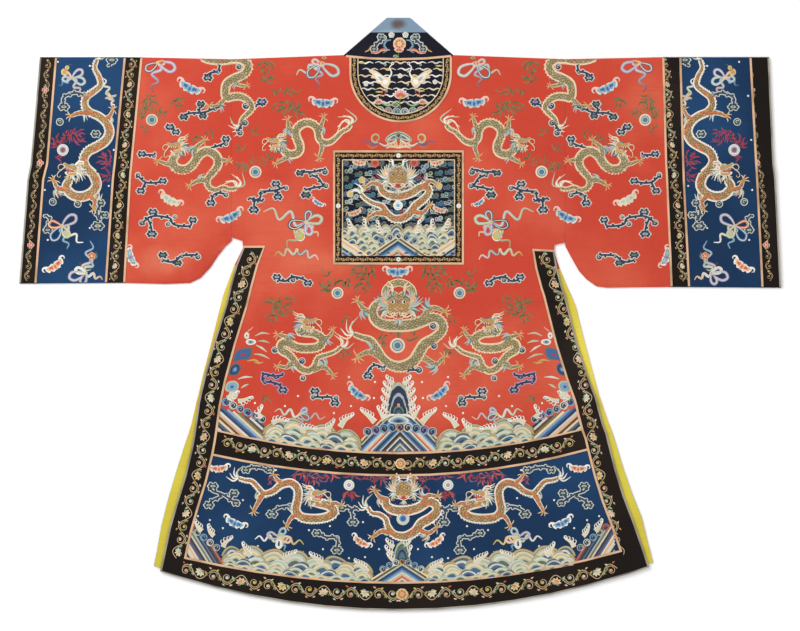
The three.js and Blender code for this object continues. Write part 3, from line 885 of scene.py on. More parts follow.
@dataclass(frozen=True)
class Head:
    """A dragon's head.

    Attributes:
        at: where it goes.
        facing: to the left, or out of the cloth.
    """

    at: Spot
    facing: Facing = Facing.SIDE

    def stitch(self, pen: Pen, coat: Coat) -> None:
        """Stitches the head.

        Args:
            pen: draws in the squares that the spot is in.
            coat: the dragon's silks.
        """
        own = replace(pen, spots=(self.at, *pen.spots))
        if self.facing is Facing.SIDE:
            self._side(own, coat)
        else:
            self._front(own, coat)

    def _side(self, pen: Pen, coat: Coat) -> None:
        """The head from the side, with its mouth open."""
        pen.spray((-1, 1), 11.5, (-62, -44, -28, -12, 4, 20, 36, 54, 72), 1.7, coat.mane, 0.3)
        pen.spray((-3, 3), 8.5, (58, 76, 94, 112), 1.5, coat.mane[::-1], -0.3)
        for lean, silk in ((0, coat.horn), (2.1, coat.edge)):
            pen.band(
                [(-3, -4.6), (0.5, -7.4 - lean), (5.5, -8 - lean), (10, -10.6 - lean)], (1.7, 1.5, 0.5),
                silk, 1
            )
            pen.band(
                [(3.8, -8 - lean), (6.2, -6.4 - lean), (8.4, -6.8 - lean)], (1.1, 0.4), silk, 1, lift=0.3
            )
        pen.patch(
            [(0, 0), (-4, -0.8), (-9.5, -0.6), (-9.6, 2.8), (-4, 3.2), (0, 3)], Silk.CRIMSON, 1, lift=0.2
        )
        upper = [
            (1.5, -1), (0.4, -4.8), (-3.4, -6.2), (-7.6, -5), (-10.8, -5.8), (-13.6, -6.6), (-14.6, -4.4)
        ]
        upper += [(-12.8, -2.4), (-9.4, -1.6), (-5.6, -0.9), (-1.4, 1)]
        pen.patch(
            upper, (coat.face, coat.edge), 2, cuts=(0, 0.8, 1), centre=(-5.5, -3.3), lift=1.1, scaled=0.4
        )
        lower = [
            (1.6, 0.8), (-2.5, 1.6), (-6.4, 2.4), (-9.6, 3.2), (-11.6, 2), (-11, 4.6), (-7, 5.8), (-2, 5),
            (1.5, 3.6)
        ]
        pen.patch(lower, (coat.face, coat.edge), 2, cuts=(0, 0.75, 1), centre=(-4.5, 3.9), lift=0.8)
        pen.band([(-4, 1.4), (-8, 0.8), (-10.8, 0), (-12.6, -1.4)], (1.5, 1.2, 0.3), Silk.CORAL, 3, lift=0.3)
        for x, y, size in ((-5.6, -0.8, 1.3), (-7.6, -1.2, 1.3), (-9.8, -1.6, 1.9), (-12, -2.2, 1.6)):
            pen.band([(x, y), (x - 0.3, y + size)], (1.0, 0.3), Silk.WHITE, 3, lift=0.2)
        for x, y in ((-5.2, 2.2), (-7.2, 2.7), (-9.6, 3)):
            pen.band([(x, y), (x - 0.2, y - 1.4)], (0.9, 0.2), Silk.WHITE, 3, lift=0.2)
        pen.disc(-4.9, -3.8, 1.75, (Silk.INK, Silk.WHITE), 3, cuts=(0, 0.5, 1), lift=0.6)
        pen.band(
            [(-1.4, -4.2), (-3.6, -6), (-6.2, -5.8), (-8, -4.2)], (0.6, 1.5, 0.9), coat.mane[3], 3, lift=0.4
        )
        pen.band([(-8.4, -3.2), (-10.4, -3.4), (-12, -4.6)], (0.5, 0.5), Silk.UMBER, 3, lift=0.2)
        pen.disc(-13, -5, 1.1, (Silk.UMBER, coat.face), 3, cuts=(0, 0.4, 1))
        pen.patch(
            [(0.6, -3), (3.6, -5.6), (4.2, -2.6), (1.6, -0.8)], (Silk.PEACH, coat.edge), 3, cuts=(0, 0.6, 1)
        )
        pen.band(
            [(-13.8, -4), (-17, -4.4), (-19, -1.6), (-17.4, 1.6), (-15.4, 0.4)], (0.9, 0.8, 0.4), coat.horn,
            3
        )
        pen.band(
            [(-12.6, -2), (-15, 1), (-18, 4), (-18.6, 8), (-15.8, 8.8), (-15.4, 6.6)], (0.9, 0.8, 0.4),
            coat.horn, 3
        )
        pen.spray((-8, 5), 5, (88, 110, 132), 1.1, (coat.horn, coat.mane[1]), 0.3, 1)

    def _front(self, pen: Pen, coat: Coat) -> None:
        """The head from the front, alike on both sides."""
        for half in (pen, pen.at(0, 0, mirror=True)):
            half.spray((7.5, 1), 15.5, (-78, -66, -54, -43, -32, -21, -10), 2.0, coat.mane, -0.22)
            half.spray((8, 4.5), 10.5, (-2, 13, 28, 43, 58), 1.8, coat.mane[::-1], 0.3)
            horn = [(3.4, -9), (5.4, -13), (5.6, -17), (9.4, -21.4)]
            half.band(horn, (2.4, 2.1, 0.7), coat.edge, 1, lift=0.5)
            half.band([(5.8, -16), (8.6, -16.4), (11.6, -18.4)], (1.6, 0.5), coat.edge, 1, lift=0.4)
            half.band(
                [(9.6, -3), (13, -6.6), (15.4, -6), (13, -2.4), (10, -0.6)], (1.6, 2.2, 0.8), Silk.PEACH, 2
            )
            half.band(
                [(2.6, 8.6), (7.4, 10.8), (12.4, 8.6), (15.6, 11), (13.6, 13.6)], (1.3, 1.2, 0.5), coat.horn,
                4
            )
        face = [(0, -11), (3.6, -12.4), (8, -9.4), (11.2, -5.4), (10.6, -0.4), (10.8, 5), (7.2, 9.2)]
        face += [(0, 10.4)] + [(-x, y) for x, y in reversed(face[1:])]
        pen.patch(
            face, (coat.face, coat.face, coat.edge), 2, cuts=(0, 0.5, 0.88, 1), centre=(0, -2), lift=1.2,
            scaled=0.75
        )
        for half in (pen, pen.at(0, 0, mirror=True)):
            half.spray((3.6, -7.2), 5.4, (-84, -62, -40), 1.5, (coat.mane[3], coat.mane[1]), -0.3, 3)
            half.band(
                [(1.4, -4), (4.4, -6.8), (8, -6.6), (10.4, -3.8)], (1.2, 2.1, 1.1), coat.mane[3], 3, lift=0.6
            )
            half.disc(
                5.2, -2.7, 2.5, (Silk.INK, Silk.WHITE, Silk.UMBER), 3, cuts=(0, 0.42, 0.82, 1), lift=0.8
            )
            half.patch(
                [(1, 1.4), (4.2, 1.2), (5.4, 3.4), (3.6, 5.4), (1, 5.2)], (Silk.PEACH, Silk.PLUM), 4,
                cuts=(0, 0.4, 1)
            )
            half.band(curl(8, 4.2, 2.4, -80, 1.2), (1.3, 0.7), coat.mane[1], 3, lift=0.3)
        pen.band([(0, -9.6), (0, -5.4), (0, -1), (0, 3)], (2.4, 1.6, 2.2, 3.4), Silk.PLUM, 3, lift=0.9)
        mouth = [(-7.4, 7), (-4, 6), (0, 6.4), (4, 6), (7.4, 7), (5.4, 11.2), (0, 12.6), (-5.4, 11.2)]
        pen.patch(mouth, (Silk.CRIMSON, coat.edge), 3, cuts=(0, 0.82, 1), lift=0.4)
        for x in (-5.2, -3.4, -1.2, 1.2, 3.4, 5.2):
            pen.band(
                [(x, 6.7), (x * 0.94, 9 if abs(x) in (3.4,) else 8.2)], (1.4, 0.6), Silk.WHITE, 4, lift=0.2
            )
        pen.band([(-2.4, 10.6), (0, 11.6), (2.4, 10.6)], (1.4, 1.6, 1.4), Silk.CORAL, 4, lift=0.3)
        pen.spray((0, 12.4), 6.5, (48, 66, 82, 98, 114, 132), 1.4, coat.mane, 0.12, 2)


@dataclass(frozen=True)
class Dragon:
    """A five-clawed dragon.

    Attributes:
        head: its head, unless it lies beyond the panel.
        spine: from the head to the tail.
        girth: its width at even distances, in squares.
        legs: its legs.
        coat: its silks.
        fins: 1 where the fins are on the left of the spine's way, -1 on the right.
        tail: where the tail's plume points, in degrees clockwise from the right.
        plume: length of the plume.
        hook: how far the plume's strands curve.
        loops: lengths of its body that show behind it.
    """

    head: Head | None
    spine: Points
    girth: Sequence[float]
    legs: tuple[Leg, ...]
    coat: Coat = ON_RED
    fins: int = 1
    tail: float = 0.0
    plume: float = 13.0
    hook: float = 0.6
    loops: tuple[Points, ...] = ()

    def stitch(self, pen: Pen) -> None:
        """Stitches the dragon.

        Args:
            pen: draws in the squares that the dragon is given in.
        """
        coat = self.coat
        run = smooth_run(np.array(self.spine, float))
        count = int(run_length(run) / 2.3)
        run = even_run(run, count)
        girth = along_run(self.girth, count + 1) * 0.84
        angles = self.tail + np.array([-58, -36, -16, 4, 24, 44])
        pen.spray(
            tuple(run[-1]), self.plume, angles, 1.5, (coat.edge, Silk.WHITE, coat.mane[1]), self.hook,
            uneven=0.4
        )
        for loop in self.loops:
            pen.band(loop, 8, coat.edge, lift=0.4)
            pen.band(loop, 6, coat.scales, 1, lift=0.8, scaled=1.0)
        for leg in self.legs:
            leg.stitch(pen, coat)
        back = beside(run, self.fins * (girth * 0.5 + 0.3))
        way = np.gradient(run, axis=0)
        way /= np.linalg.norm(way, axis=1, keepdims=True)
        out = beside(run, self.fins) - run
        for i in range(1, count):
            tip = back[i] + out[i] * 1.5 + way[i] * 1.1
            pen.band(
                [back[i] - way[i] * 0.5, back[i] + out[i] * 0.8, tip], (1.7, 1.3, 0.4), coat.fins[i % 2],
                lift=0.25
            )
        pen.band(run, girth + 2.0, coat.edge, lift=0.5, along=count)
        pen.band(run, girth, coat.scales, 1, lift=1.2, scaled=1.0, along=count)
        belly = beside(run, -self.fins * girth * 0.42)
        pen.band(belly, girth * 0.16, coat.belly, 2, lift=0.15, along=count)
        for i in range(3, count - 4):
            if coat.flush and math.sin(i * 0.62) > 0.15:
                slant = [belly[i], (belly[i] + run[i + 1]) / 2, run[i + 2]]
                pen.band(slant, (1.3, 1.1, 0.3), coat.flush[i % len(coat.flush)], 6)
        if self.head is not None:
            self.head.stitch(pen.over(4), coat)


@dataclass(frozen=True)
class Cloud:
    """A drifting cloud: a thin branching bar with rolled, pointed or round ends.

    Attributes:
        bars: the branches.
        ends: column, row and size of each pointed end.
        rolls: column, row and size of each round one.
        inner: silk of the inside.
        outer: silk of the outline.
        heart: silk in the middle of its ends.
    """

    bars: tuple[Points, ...]
    ends: tuple[tuple[float, float, float], ...] = ()
    rolls: tuple[tuple[float, float, float], ...] = ()
    inner: Silk = Silk.NAVY
    outer: Silk = Silk.PALE
    heart: Silk = Silk.MIST

    def stitch(self, pen: Pen) -> None:
        """Stitches the cloud.

        Args:
            pen: draws in the squares of its bars.
        """
        for grow, silk, tier in ((1.15, self.outer, 0), (0.0, self.inner, 1)):
            for bar in self.bars:
                pen.band(bar, 2.0 + grow * 1.6, silk, tier, lift=0.35)
                run = smooth_run(np.array(bar, float))
                count = max(2, round(run_length(run) / 5.2))
                run = even_run(run, count)
                for k, (x, y) in enumerate(beside(run, np.where(np.arange(count + 1) % 2, 1.5, -1.5))):
                    pen.disc(x, y, 1.15 + grow * 0.72, silk, tier, lift=0.2)
            for x, y, size in self.rolls:
                pen.disc(x, y, size + grow * 0.75, silk, tier, lift=0.3)
            for x, y, size in self.ends:
                pen.patch(
                    self._lens(x, y, size + grow, 0.52), silk, tier, centre=(x, y), smooth=False, lift=0.3
                )
                for dx, dy in ((-0.5, -0.5), (0.5, 0.5), (0.5, -0.45), (-0.55, 0.42)):
                    pen.disc(x + dx * size, y + dy * size, 1.3 + grow * 0.7, silk, tier, lift=0.2)
        for x, y, size in self.rolls:
            pen.band(curl(x, y, size * 0.62, 200, 1.3, 0.1), (0.7, 0.5), self.outer, 2, lift=0.15)
        for x, y, size in self.ends:
            pen.patch(
                self._lens(x, y, size * 0.55, 0.5), (self.inner, self.heart), 2, cuts=(0, 0.4, 1),
                centre=(x, y), smooth=False
            )

    def _lens(self, x: float, y: float, size: float, flat: float) -> list[Point]:
        """A flattened outline with two pointed corners."""
        found = []
        for turn in np.linspace(0, 2 * math.pi, 16, endpoint=False):
            reach = abs(math.cos(turn)) ** 1.5 * 0.25 + 0.82
            found.append((x + size * reach * math.cos(turn), y + size * flat * math.sin(turn)))
        return found


@dataclass(frozen=True)
class Bat:
    """A bat with spread wings whose tips run out in curls.

    Attributes:
        wing: silks of its wings from the middle out.
        body: silk of its body.
        curls: silk of the curls.
    """

    wing: tuple[Silk, ...] = (Silk.AZURE, Silk.SKY, Silk.PALE)
    body: Silk = Silk.AZURE
    curls: Silk = Silk.BLUSH

    def stitch(self, pen: Pen) -> None:
        """Stitches the bat, about 30 squares wide.

        Args:
            pen: draws with the bat's middle at 0, 0.
        """
        for half in (pen, pen.at(0, 0, mirror=True)):
            hook = [(9, -3.2), (12.4, -5.6), (15.4, -5), (16, -1.8), (14.2, -0.6)]
            half.band(hook, (3.2, 2.6, 1.8, 0.5), self.curls, lift=0.4)
            wing = [
                (0, -2), (3, -4.6), (7, -3.8), (10.4, -4.8), (12.6, -3), (12.2, 1), (9.6, 4), (7, 2.4),
                (5, 5.8), (2.4, 4.8), (0, 4)
            ]
            half.patch(wing, self.wing, cuts=(0, 0.36, 0.7, 1), centre=(4.8, -0.6), lift=0.5)
            half.band([(1, -0.8), (5, -2), (9, -2.8), (11.4, -1.4)], (0.5, 0.9, 0.5), Silk.NAVY, 1, lift=0.2)
            for x, y in ((9.4, 2), (5.2, 3)):
                half.band([(5.6, -1.2), (x, y)], (0.8, 0.4), self.curls, 1, lift=0.2)
            half.band([(0.5, -2), (1.8, -5)], (1.3, 0.3), self.wing[-1], 1, lift=0.2)
        pen.patch(
            [(0, -3.6), (2.3, -1), (2, 2.8), (0, 6.4), (-2, 2.8), (-2.3, -1)], (self.body, self.wing[1]), 1,
            lift=0.8
        )
        for x in (-0.7, 0.7):
            pen.disc(x, -1.4, 0.45, Silk.INK, 2, lift=0.2)



@dataclass(frozen=True)
class Pearl:
    """A flaming pearl.

    Attributes:
        radius: in squares.
        flames: silk of its flames.
        angles: where the flames lick, in degrees clockwise from the right.
        silks: of the pearl from the middle out.
    """

    radius: float = 6.0
    flames: Silk = Silk.OLIVE
    angles: tuple[float, ...] = (-150, -100, -50, 200)
    silks: tuple[Silk, ...] = (Silk.TEAL, Silk.MIST, Silk.TEAL, Silk.CREAM, Silk.BLUSH)

    def stitch(self, pen: Pen) -> None:
        """Stitches the pearl at 0, 0."""
        r = self.radius
        for angle in self.angles:
            turn = math.radians(angle)
            Flame((self.flames,)).stitch(
                pen.at(r * 1.2 * math.cos(turn), r * 1.2 * math.sin(turn), r / 7, angle + 90)
            )
        pen.disc(0, 0, r, self.silks, 1, cuts=(0, 0.4, 0.62, 0.74, 0.9, 1), lift=0.9)
        pen.band(curl(0, 0, r * 0.5, 20, 1.3, 0.2), (0.7, 0.5), Silk.WHITE, 2, lift=0.1)


@dataclass(frozen=True)
class Flame:
    """A flame that licks upwards with a fork.

    Attributes:
        silks: used in turn for its tongues.
    """

    silks: tuple[Silk, ...]

    def stitch(self, pen: Pen) -> None:
        """Stitches the flame, about 11 squares tall, from its root at 0, 0."""
        tongues = (
            ([(0, 0), (-1.8, -2.6), (0.4, -5.2), (-1, -8), (1.4, -10.6)], 1.5),
            ([(-0.6, -1), (-3.6, -2.4), (-3.4, -5), (-5.6, -6.4)], 1.2),
            ([(0.2, -1.6), (3, -3.2), (2.6, -5.6), (5, -7.4)], 1.2),
        )
        for i, (path, width) in enumerate(tongues):
            pen.band(path, (width * 0.6, width, width * 0.25), self.silks[i % len(self.silks)], lift=0.25)


def wisps(pen: Pen, x: float, y: float, wide: float, tall: float, silks: Sequence[Silk]) -> None:
    """A loose patch of short curved strokes, as faded flames and leaves look.

    Args:
        pen: draws it.
        x: column of its middle.
        y: row of its middle.
        wide: its width.
        tall: its height.
        silks: used in turn.
    """
    count = max(4, round(wide * tall / 15))
    for i in range(count):
        share, turn = math.sqrt((i + 0.5) / count), i * 2.4 + x
        column, row = x + wide / 2 * share * math.cos(turn), y + tall / 2 * share * math.sin(turn)
        way = turn * 3.1 + y
        dx, dy = math.cos(way), math.sin(way)
        reach = 2.2 + i * 7 % 5 * 0.6
        path = [
            (column - dx * reach, row - dy * reach), (column + dy * 1.1, row - dx * 1.1),
            (column + dx * reach, row + dy * reach)
        ]
        pen.band(path, (0.5, 1.7, 0.3), silks[i % len(silks)], lift=0.15, along=5)


def scatter(pen: Pen, patches: Sequence[tuple[float, float, float, float]], silks: Sequence[Silk]) -> None:
    """Several patches of wisps.

    Args:
        pen: draws them.
        patches: column, row, width and height of each.
        silks: used in turn.
    """
    for x, y, wide, tall in patches:
        wisps(pen, x, y, wide, tall, silks)


def dots(pen: Pen, places: Points, size: float = 1.0) -> None:
    """Small white knots.

    Args:
        pen: draws them.
        places: their middles.
        size: radius of each.
    """
    for x, y in places:
        pen.disc(x, y, size, Silk.WHITE, lift=0.3)


@dataclass(frozen=True)
class Ribbons:
    """A ribbon bow with floating ends, tied round a small treasure.

    Attributes:
        loops: silk, angle and length of each loop.
        ends: silk, silk of the tip, angle and length of each floating end.
    """

    loops: tuple[tuple[Silk, float, float], ...]
    ends: tuple[tuple[Silk, Silk, float, float], ...]

    def stitch(self, pen: Pen) -> None:
        """Stitches the bow with its knot at 0, 0."""
        for i, (silk, tip, angle, length) in enumerate(self.ends):
            own = pen.at(0, 0, turn=angle)
            wave = (0, -3.2, 3.0, -2.6, 2.0, -1.0)
            flip = -1 if i % 2 else 1
            path = [(length * k / 5, flip * rise * length / 22) for k, rise in enumerate(wave)]
            own.band(path, (1.8, 3.0, 2.8, 2.5, 2.0, 0.9), (silk, Silk.PALE, silk), lift=0.4, tip=tip)
        for silk, angle, length in self.loops:
            own = pen.at(0, 0, turn=angle)
            arc = [(0, 0), (0.4, -0.2), (0.78, -0.24), (1, -0.02), (0.8, 0.24), (0.4, 0.18), (0.02, 0.02)]
            own.band(
                [(x * length, y * length) for x, y in arc], (1.8, 3.0, 3.4, 3.0, 1.8),
                (silk, Silk.PALE, silk), 1, lift=0.4
            )
        pen.disc(0, 0, 1.9, (Silk.YELLOW, Silk.CREAM), 2, cuts=(0, 0.6, 1))


class Treasure(Enum):
    """Small lucky things that are tied with ribbons."""

    GOURD = "gourd"
    FAN = "fan"
    SCROLLS = "scrolls"
    LOTUS = "lotus"

    def stitch(self, pen: Pen) -> None:
        """Stitches the thing, about 14 squares tall, with its middle at 0, 0."""
        getattr(self, "_" + self.value)(pen)

    def _gourd(self, pen: Pen) -> None:
        """A bottle gourd."""
        pen.disc(0, 3.4, 4.8, (Silk.HONEY, Silk.YELLOW, Silk.CREAM), cuts=(0, 0.5, 0.85, 1), lift=1)
        pen.disc(0, -3.4, 3, (Silk.HONEY, Silk.YELLOW, Silk.CREAM), cuts=(0, 0.5, 0.85, 1), lift=1)
        pen.band([(0, -6), (1, -9), (3, -9.6)], (1.2, 0.6), Silk.MOSS)
        pen.band([(-2.6, 0), (2.6, 0)], 1.4, Silk.CORAL, 2)

    def _fan(self, pen: Pen) -> None:
        """A leaf-shaped fan with a tassel."""
        leaf = [(0, -9), (4, -7), (5.4, -2.6), (3.4, 1.8), (0, 3), (-3.4, 1.8), (-5.4, -2.6), (-4, -7)]
        pen.patch(leaf, (Silk.SAGE, Silk.YELLOW, Silk.WHITE), cuts=(0, 0.4, 0.84, 1), lift=0.6)
        for angle in (-130, -110, -90, -70, -50):
            turn = math.radians(angle)
            pen.band([(0, 2), (8 * math.cos(turn), 2 + 9 * math.sin(turn))], 0.5, Silk.MOSS, 1, lift=0.1)
        pen.band([(0, 2), (0, 9)], 1.2, Silk.CORAL)

    def _scrolls(self, pen: Pen) -> None:
        """Two crossed scrolls."""
        for sign in (-1, 1):
            pen.band([(-7 * sign, 5), (7 * sign, -5)], 3.4, (Silk.CREAM, Silk.SKY, Silk.CREAM), max(sign, 0))
            for end in (-1, 1):
                pen.disc(7 * sign * end, -5 * end, 1.6, (Silk.CORAL, Silk.YELLOW), 2, cuts=(0, 0.5, 1))

    def _lotus(self, pen: Pen) -> None:
        """A lotus flower and its leaf."""
        pen.band([(0, 9), (-1, 4), (0, 0)], 0.9, Silk.LEAF)
        for angle in (-150, -128, -52, -30, -108, -72, -90):
            own = pen.at(0, 0, turn=angle + 90)
            petal = [(0, 0.6), (1.8, -2.6), (0, -7.4), (-1.8, -2.6)]
            own.patch(
                petal, (Silk.CORAL, Silk.PINK, Silk.WHITE), 1, cuts=(0, 0.4, 0.82, 1), centre=(0, -2.4),
                lift=0.5
            )
        pen.disc(0, -0.6, 1.5, Silk.YELLOW, 2)
        pen.patch([(-1, 6), (-4.4, 3.4), (-7.6, 5.4), (-4.4, 7.6)], (Silk.LEAF, Silk.SAGE), cuts=(0, 0.7, 1))


@dataclass(frozen=True)
class Flower:
    """A flower seen from above.

    Attributes:
        petals: silks of its petals from the middle out.
        heart: silk of its middle.
        count: how many petals.
    """

    petals: tuple[Silk, ...] = (Silk.CORAL, Silk.PINK, Silk.WHITE)
    heart: Silk = Silk.YELLOW
    count: int = 5

    def stitch(self, pen: Pen) -> None:
        """Stitches the flower, about 10 squares wide, at 0, 0."""
        for i in range(self.count):
            own = pen.at(0, 0, turn=360 * i / self.count)
            petal = [(-0.8, -0.6), (-2.5, -3.2), (-1.4, -5), (0, -4.6), (1.4, -5), (2.5, -3.2), (0.8, -0.6)]
            own.patch(petal, self.petals, 0, centre=(0, -2.6), lift=0.5)
        pen.disc(0, 0, 1.5, (self.heart, Silk.CREAM), 1, cuts=(0, 0.6, 1))

    def bloom(self, pen: Pen) -> None:
        """Stitches it half open from the side, about 11 squares wide, its foot at 0, 0."""
        for turn in (-84, 84, -46, 46, 0):
            petal = [(0, 1), (1.9, -1.8), (0.5, -6.4), (-1.5, -3)]
            pen.at(0, 0, turn=turn).patch(petal, self.petals, abs(turn) < 50, centre=(0, -2), lift=0.4)
        for side in (-1, 1):
            pen.band([(0, 1), (side * 2, 2.8), (side * 4.6, 1.8)], (1.4, 1.2, 0.3), Silk.SAGE, lift=0.3)
        pen.disc(0, -0.2, 1.3, self.heart, 2)


@dataclass(frozen=True)
class Vine:
    """A flowering vine that winds along a border.

    Attributes:
        path: the middle of the border.
        sway: how far it winds to each side.
        period: length of one winding.
        flowers: the flowers, used in turn.
        size: scale of its flowers.
        stem: silk of the stem.
        leaves: silks of the leaves, used in turn.
    """

    path: Points
    sway: float = 3.6
    period: float = 27.0
    flowers: tuple[Flower, ...] = ()
    size: float = 0.62
    stem: Silk = Silk.STRAW
    leaves: tuple[Silk, ...] = (Silk.SAGE, Silk.LEAF, Silk.HONEY, Silk.MOSS)

    def stitch(self, pen: Pen) -> None:
        """Stitches the vine.

        Args:
            pen: draws in the squares of its path.
        """
        middle = smooth_run(np.array(self.path, float))
        turns = max(1, round(run_length(middle) / self.period))
        middle = even_run(middle, turns * 16)
        swing = np.sin(np.arange(turns * 16 + 1) / 8 * math.pi)
        thin, grow = self.size * 1.05, self.size / 0.62
        pen.band(beside(middle, self.sway * swing), thin, self.stem, lift=0.2, along=turns * 16)
        way = np.gradient(middle, axis=0)
        heading = np.degrees(np.arctan2(way[:, 1], way[:, 0]))
        reach = min(self.period * 0.19, self.sway)
        for half in range(turns * 2):
            i = half * 8 + 4
            side = 1 if swing[i] > 0 else -1
            own = pen.at(*middle[i], turn=float(heading[i]))
            leaf_turns = (62 * side, 118 * side, -40 * side) if half % 2 else (50 * side, 140 * side)
            for j, turn in enumerate(leaf_turns):
                leaf = own.at(-self.period * 0.25 + j * 1.2, 0, grow * 0.78, turn + 90)
                leaf.patch(
                    [(0, 1.2), (1.3, -1.4), (0, -4.8), (-1.3, -1.4)],
                    self.leaves[(half + j) % len(self.leaves)], lift=0.3, smooth=False
                )
            if self.flowers and (half + len(self.flowers)) % 3 == 0:
                flower = self.flowers[half // 3 % len(self.flowers)]
                flower.bloom(
                    own.at(
                        0, side * self.sway * 0.25, self.size * 1.12, 25 * side if side > 0 else 155
                    ).over()
                )
                continue
            roll = [(-self.period * 0.25, 0)] + curl(
                self.period * 0.02, side * self.sway * 0.12, reach, 180, side * 1.4, 0.16
            )
            own.band(roll, (thin, thin * 0.9, thin * 0.7), self.stem, lift=0.15)
            bud = self.flowers[
                half % len(self.flowers)
            ].petals[:2] if self.flowers else (self.stem, Silk.HONEY)
            own.disc(self.period * 0.02, side * self.sway * 0.12, 1.3 * grow, bud, 1, lift=0.3)
            if self.flowers:
                for j, turn in enumerate((-90 - side * 90 + 24, -90 - side * 90 - 24)):
                    tip = own.at(reach * 0.7 * (1 - j * 2), -side * (self.sway + 0.6), grow * 0.62, turn + 90)
                    tip.patch(
                        [(0, 1), (1.2, -1), (0, -4), (-1.2, -1)],
                        self.flowers[(half + j) % len(self.flowers)].petals[j], lift=0.3, smooth=False
                    )


@dataclass(frozen=True)
class Crest:
    """A breaking crest: a tapering arm of foam with fingers along one side.

    Attributes:
        path: from its root to its tip.
        side: 1 where the fingers are on the left of the way, -1 on the right.
        width: at the root.
        silks: outline, inside and fingers.
    """

    path: Points
    side: int = 1
    width: float = 6.5
    silks: tuple[Silk, Silk, Silk] = (Silk.CREAM, Silk.PALE, Silk.WHITE)

    def stitch(self, pen: Pen) -> None:
        """Stitches the crest.

        Args:
            pen: draws in the squares of the path.
        """
        run = smooth_run(np.array(self.path, float))
        count = max(3, int(run_length(run) / 2.6))
        run = even_run(run, count)
        wide = along_run((self.width, self.width * 0.66, self.width * 0.26), count + 1)
        pen.band(run, wide + 0.9, self.silks[0], lift=0.4)
        pen.band(run, wide * 0.6, self.silks[1], 1, lift=0.4)
        edge = beside(run, self.side * wide * 0.45)
        out = beside(run, self.side) - run
        way = np.gradient(run, axis=0)
        way /= np.linalg.norm(way, axis=1, keepdims=True)
        for i in range(count // 3, count + 1):
            a, w, o = edge[i], way[i], out[i]
            reach = 1.15 - 0.4 * i / count
            hook = [
                a - w * 0.8, a + o * 1.8 * reach, a + (o * 3.2 + w * 1.2) * reach,
                a + (o * 3 + w * 2.8) * reach, a + (o * 1.7 + w * 2.6) * reach
            ]
            pen.band(hook, (1.3, 1.0, 0.8, 0.3), self.silks[2], 1, lift=0.4)
        a, w, o = run[-1], way[-1], out[-1]
        tip = [a - w, a + w * 2.2 + o * 0.6, a + w * 3 + o * 2.4, a + w * 1.2 + o * 3]
        pen.band(tip, (self.width * 0.45, 1.6, 0.5), self.silks[2], 1, lift=0.4)


def spurs(pen: Pen, places: Points, width: float) -> None:
    """Short crests on the flank of a peak.

    Args:
        pen: draws them.
        places: their middles.
        width: at the root of each.
    """
    for x, y in places:
        Crest(((x + 3, y + 1), (x - 1, y - 1.5), (x - 4, y - 4.5)), -1, width).stitch(pen)


@dataclass(frozen=True)
class Swell:
    """A broad rounded wave of nested bands.

    Attributes:
        left: its left foot.
        right: its right foot.
        rise: height over its feet.
        lean: how far its top leans to the right, as a share of its width.
        silks: from the middle out.
    """

    left: Point
    right: Point
    rise: float
    lean: float
    silks: tuple[Silk, ...]

    def stitch(self, pen: Pen) -> None:
        """Stitches the wave.

        Args:
            pen: draws in the squares of its feet.
        """
        a, b = np.array(self.left), np.array(self.right)
        outline = []
        for share in np.linspace(0, 1, 17):
            swell = math.sin(math.pi * share) ** 0.72
            x, y = a + (b - a) * (share + self.lean * 0.5 * math.sin(math.pi * share))
            outline.append((x, y - self.rise * swell))
        middle = (a + b) / 2
        cuts = (0, 0.24, 0.36, 0.5, 0.62, 0.66, 0.8, 0.84, 0.96, 1)
        rings = (*self.silks, self.silks[-1], self.silks[-2], Silk.SLATE, Silk.STRAW, Silk.MOSS)
        pen.patch(outline, rings, cuts=cuts, centre=(middle[0], middle[1] - 0.3), smooth=False, lift=0.6)


WATERS = (
    (Silk.NAVY, Silk.AZURE, Silk.SLATE, Silk.PALE),
    (Silk.SLATE, Silk.SAGE, Silk.CREAM, Silk.SAGE),
    (Silk.MOSS, Silk.SAGE, Silk.PALE, Silk.SAGE),
    (Silk.AZURE, Silk.SLATE, Silk.SAGE, Silk.CREAM),
    (Silk.MOSS, Silk.SLATE, Silk.SAGE, Silk.PALE),
)


@dataclass(frozen=True)
class Sea:
    """Waves along the foot of a panel, row before row.

    Attributes:
        floor: the lower edge, from left to right.
        rows: width, rise and height of the feet over the floor, for each row from the back.
        seed: starts the differences between waves.
    """

    floor: Points
    rows: tuple[tuple[float, float, float], ...] = ((40, 20, 9), (36, 15, 4), (31, 9, 0))
    seed: int = 5

    def stitch(self, pen: Pen) -> None:
        """Stitches the waves.

        Args:
            pen: draws in the squares of the floor.
        """
        rng = np.random.default_rng(self.seed)
        floor = even_run(smooth_run(np.array(self.floor, float)), 200)
        length = run_length(floor)
        for row, (width, rise, foot) in enumerate(self.rows):
            count = max(1, round(length / (width * 0.62)))
            for i in range(count):
                middle = (i + 0.5 + 0.24 * (row % 2) - 0.12) / count * 200
                half = width / length * 100
                ends = np.clip([middle - half, middle + half], 0, 200).astype(int)
                left, right = floor[ends[0]], floor[ends[1]]
                lift = rise * rng.uniform(0.82, 1.12) * (right[0] - left[0]) / width
                lean = rng.uniform(-0.3, 0.3)
                silks = WATERS[(i * 3 + row) % len(WATERS)]
                Swell(
                    (left[0], left[1] - foot), (right[0], right[1] - foot), lift, lean, silks
                ).stitch(pen.over(row))


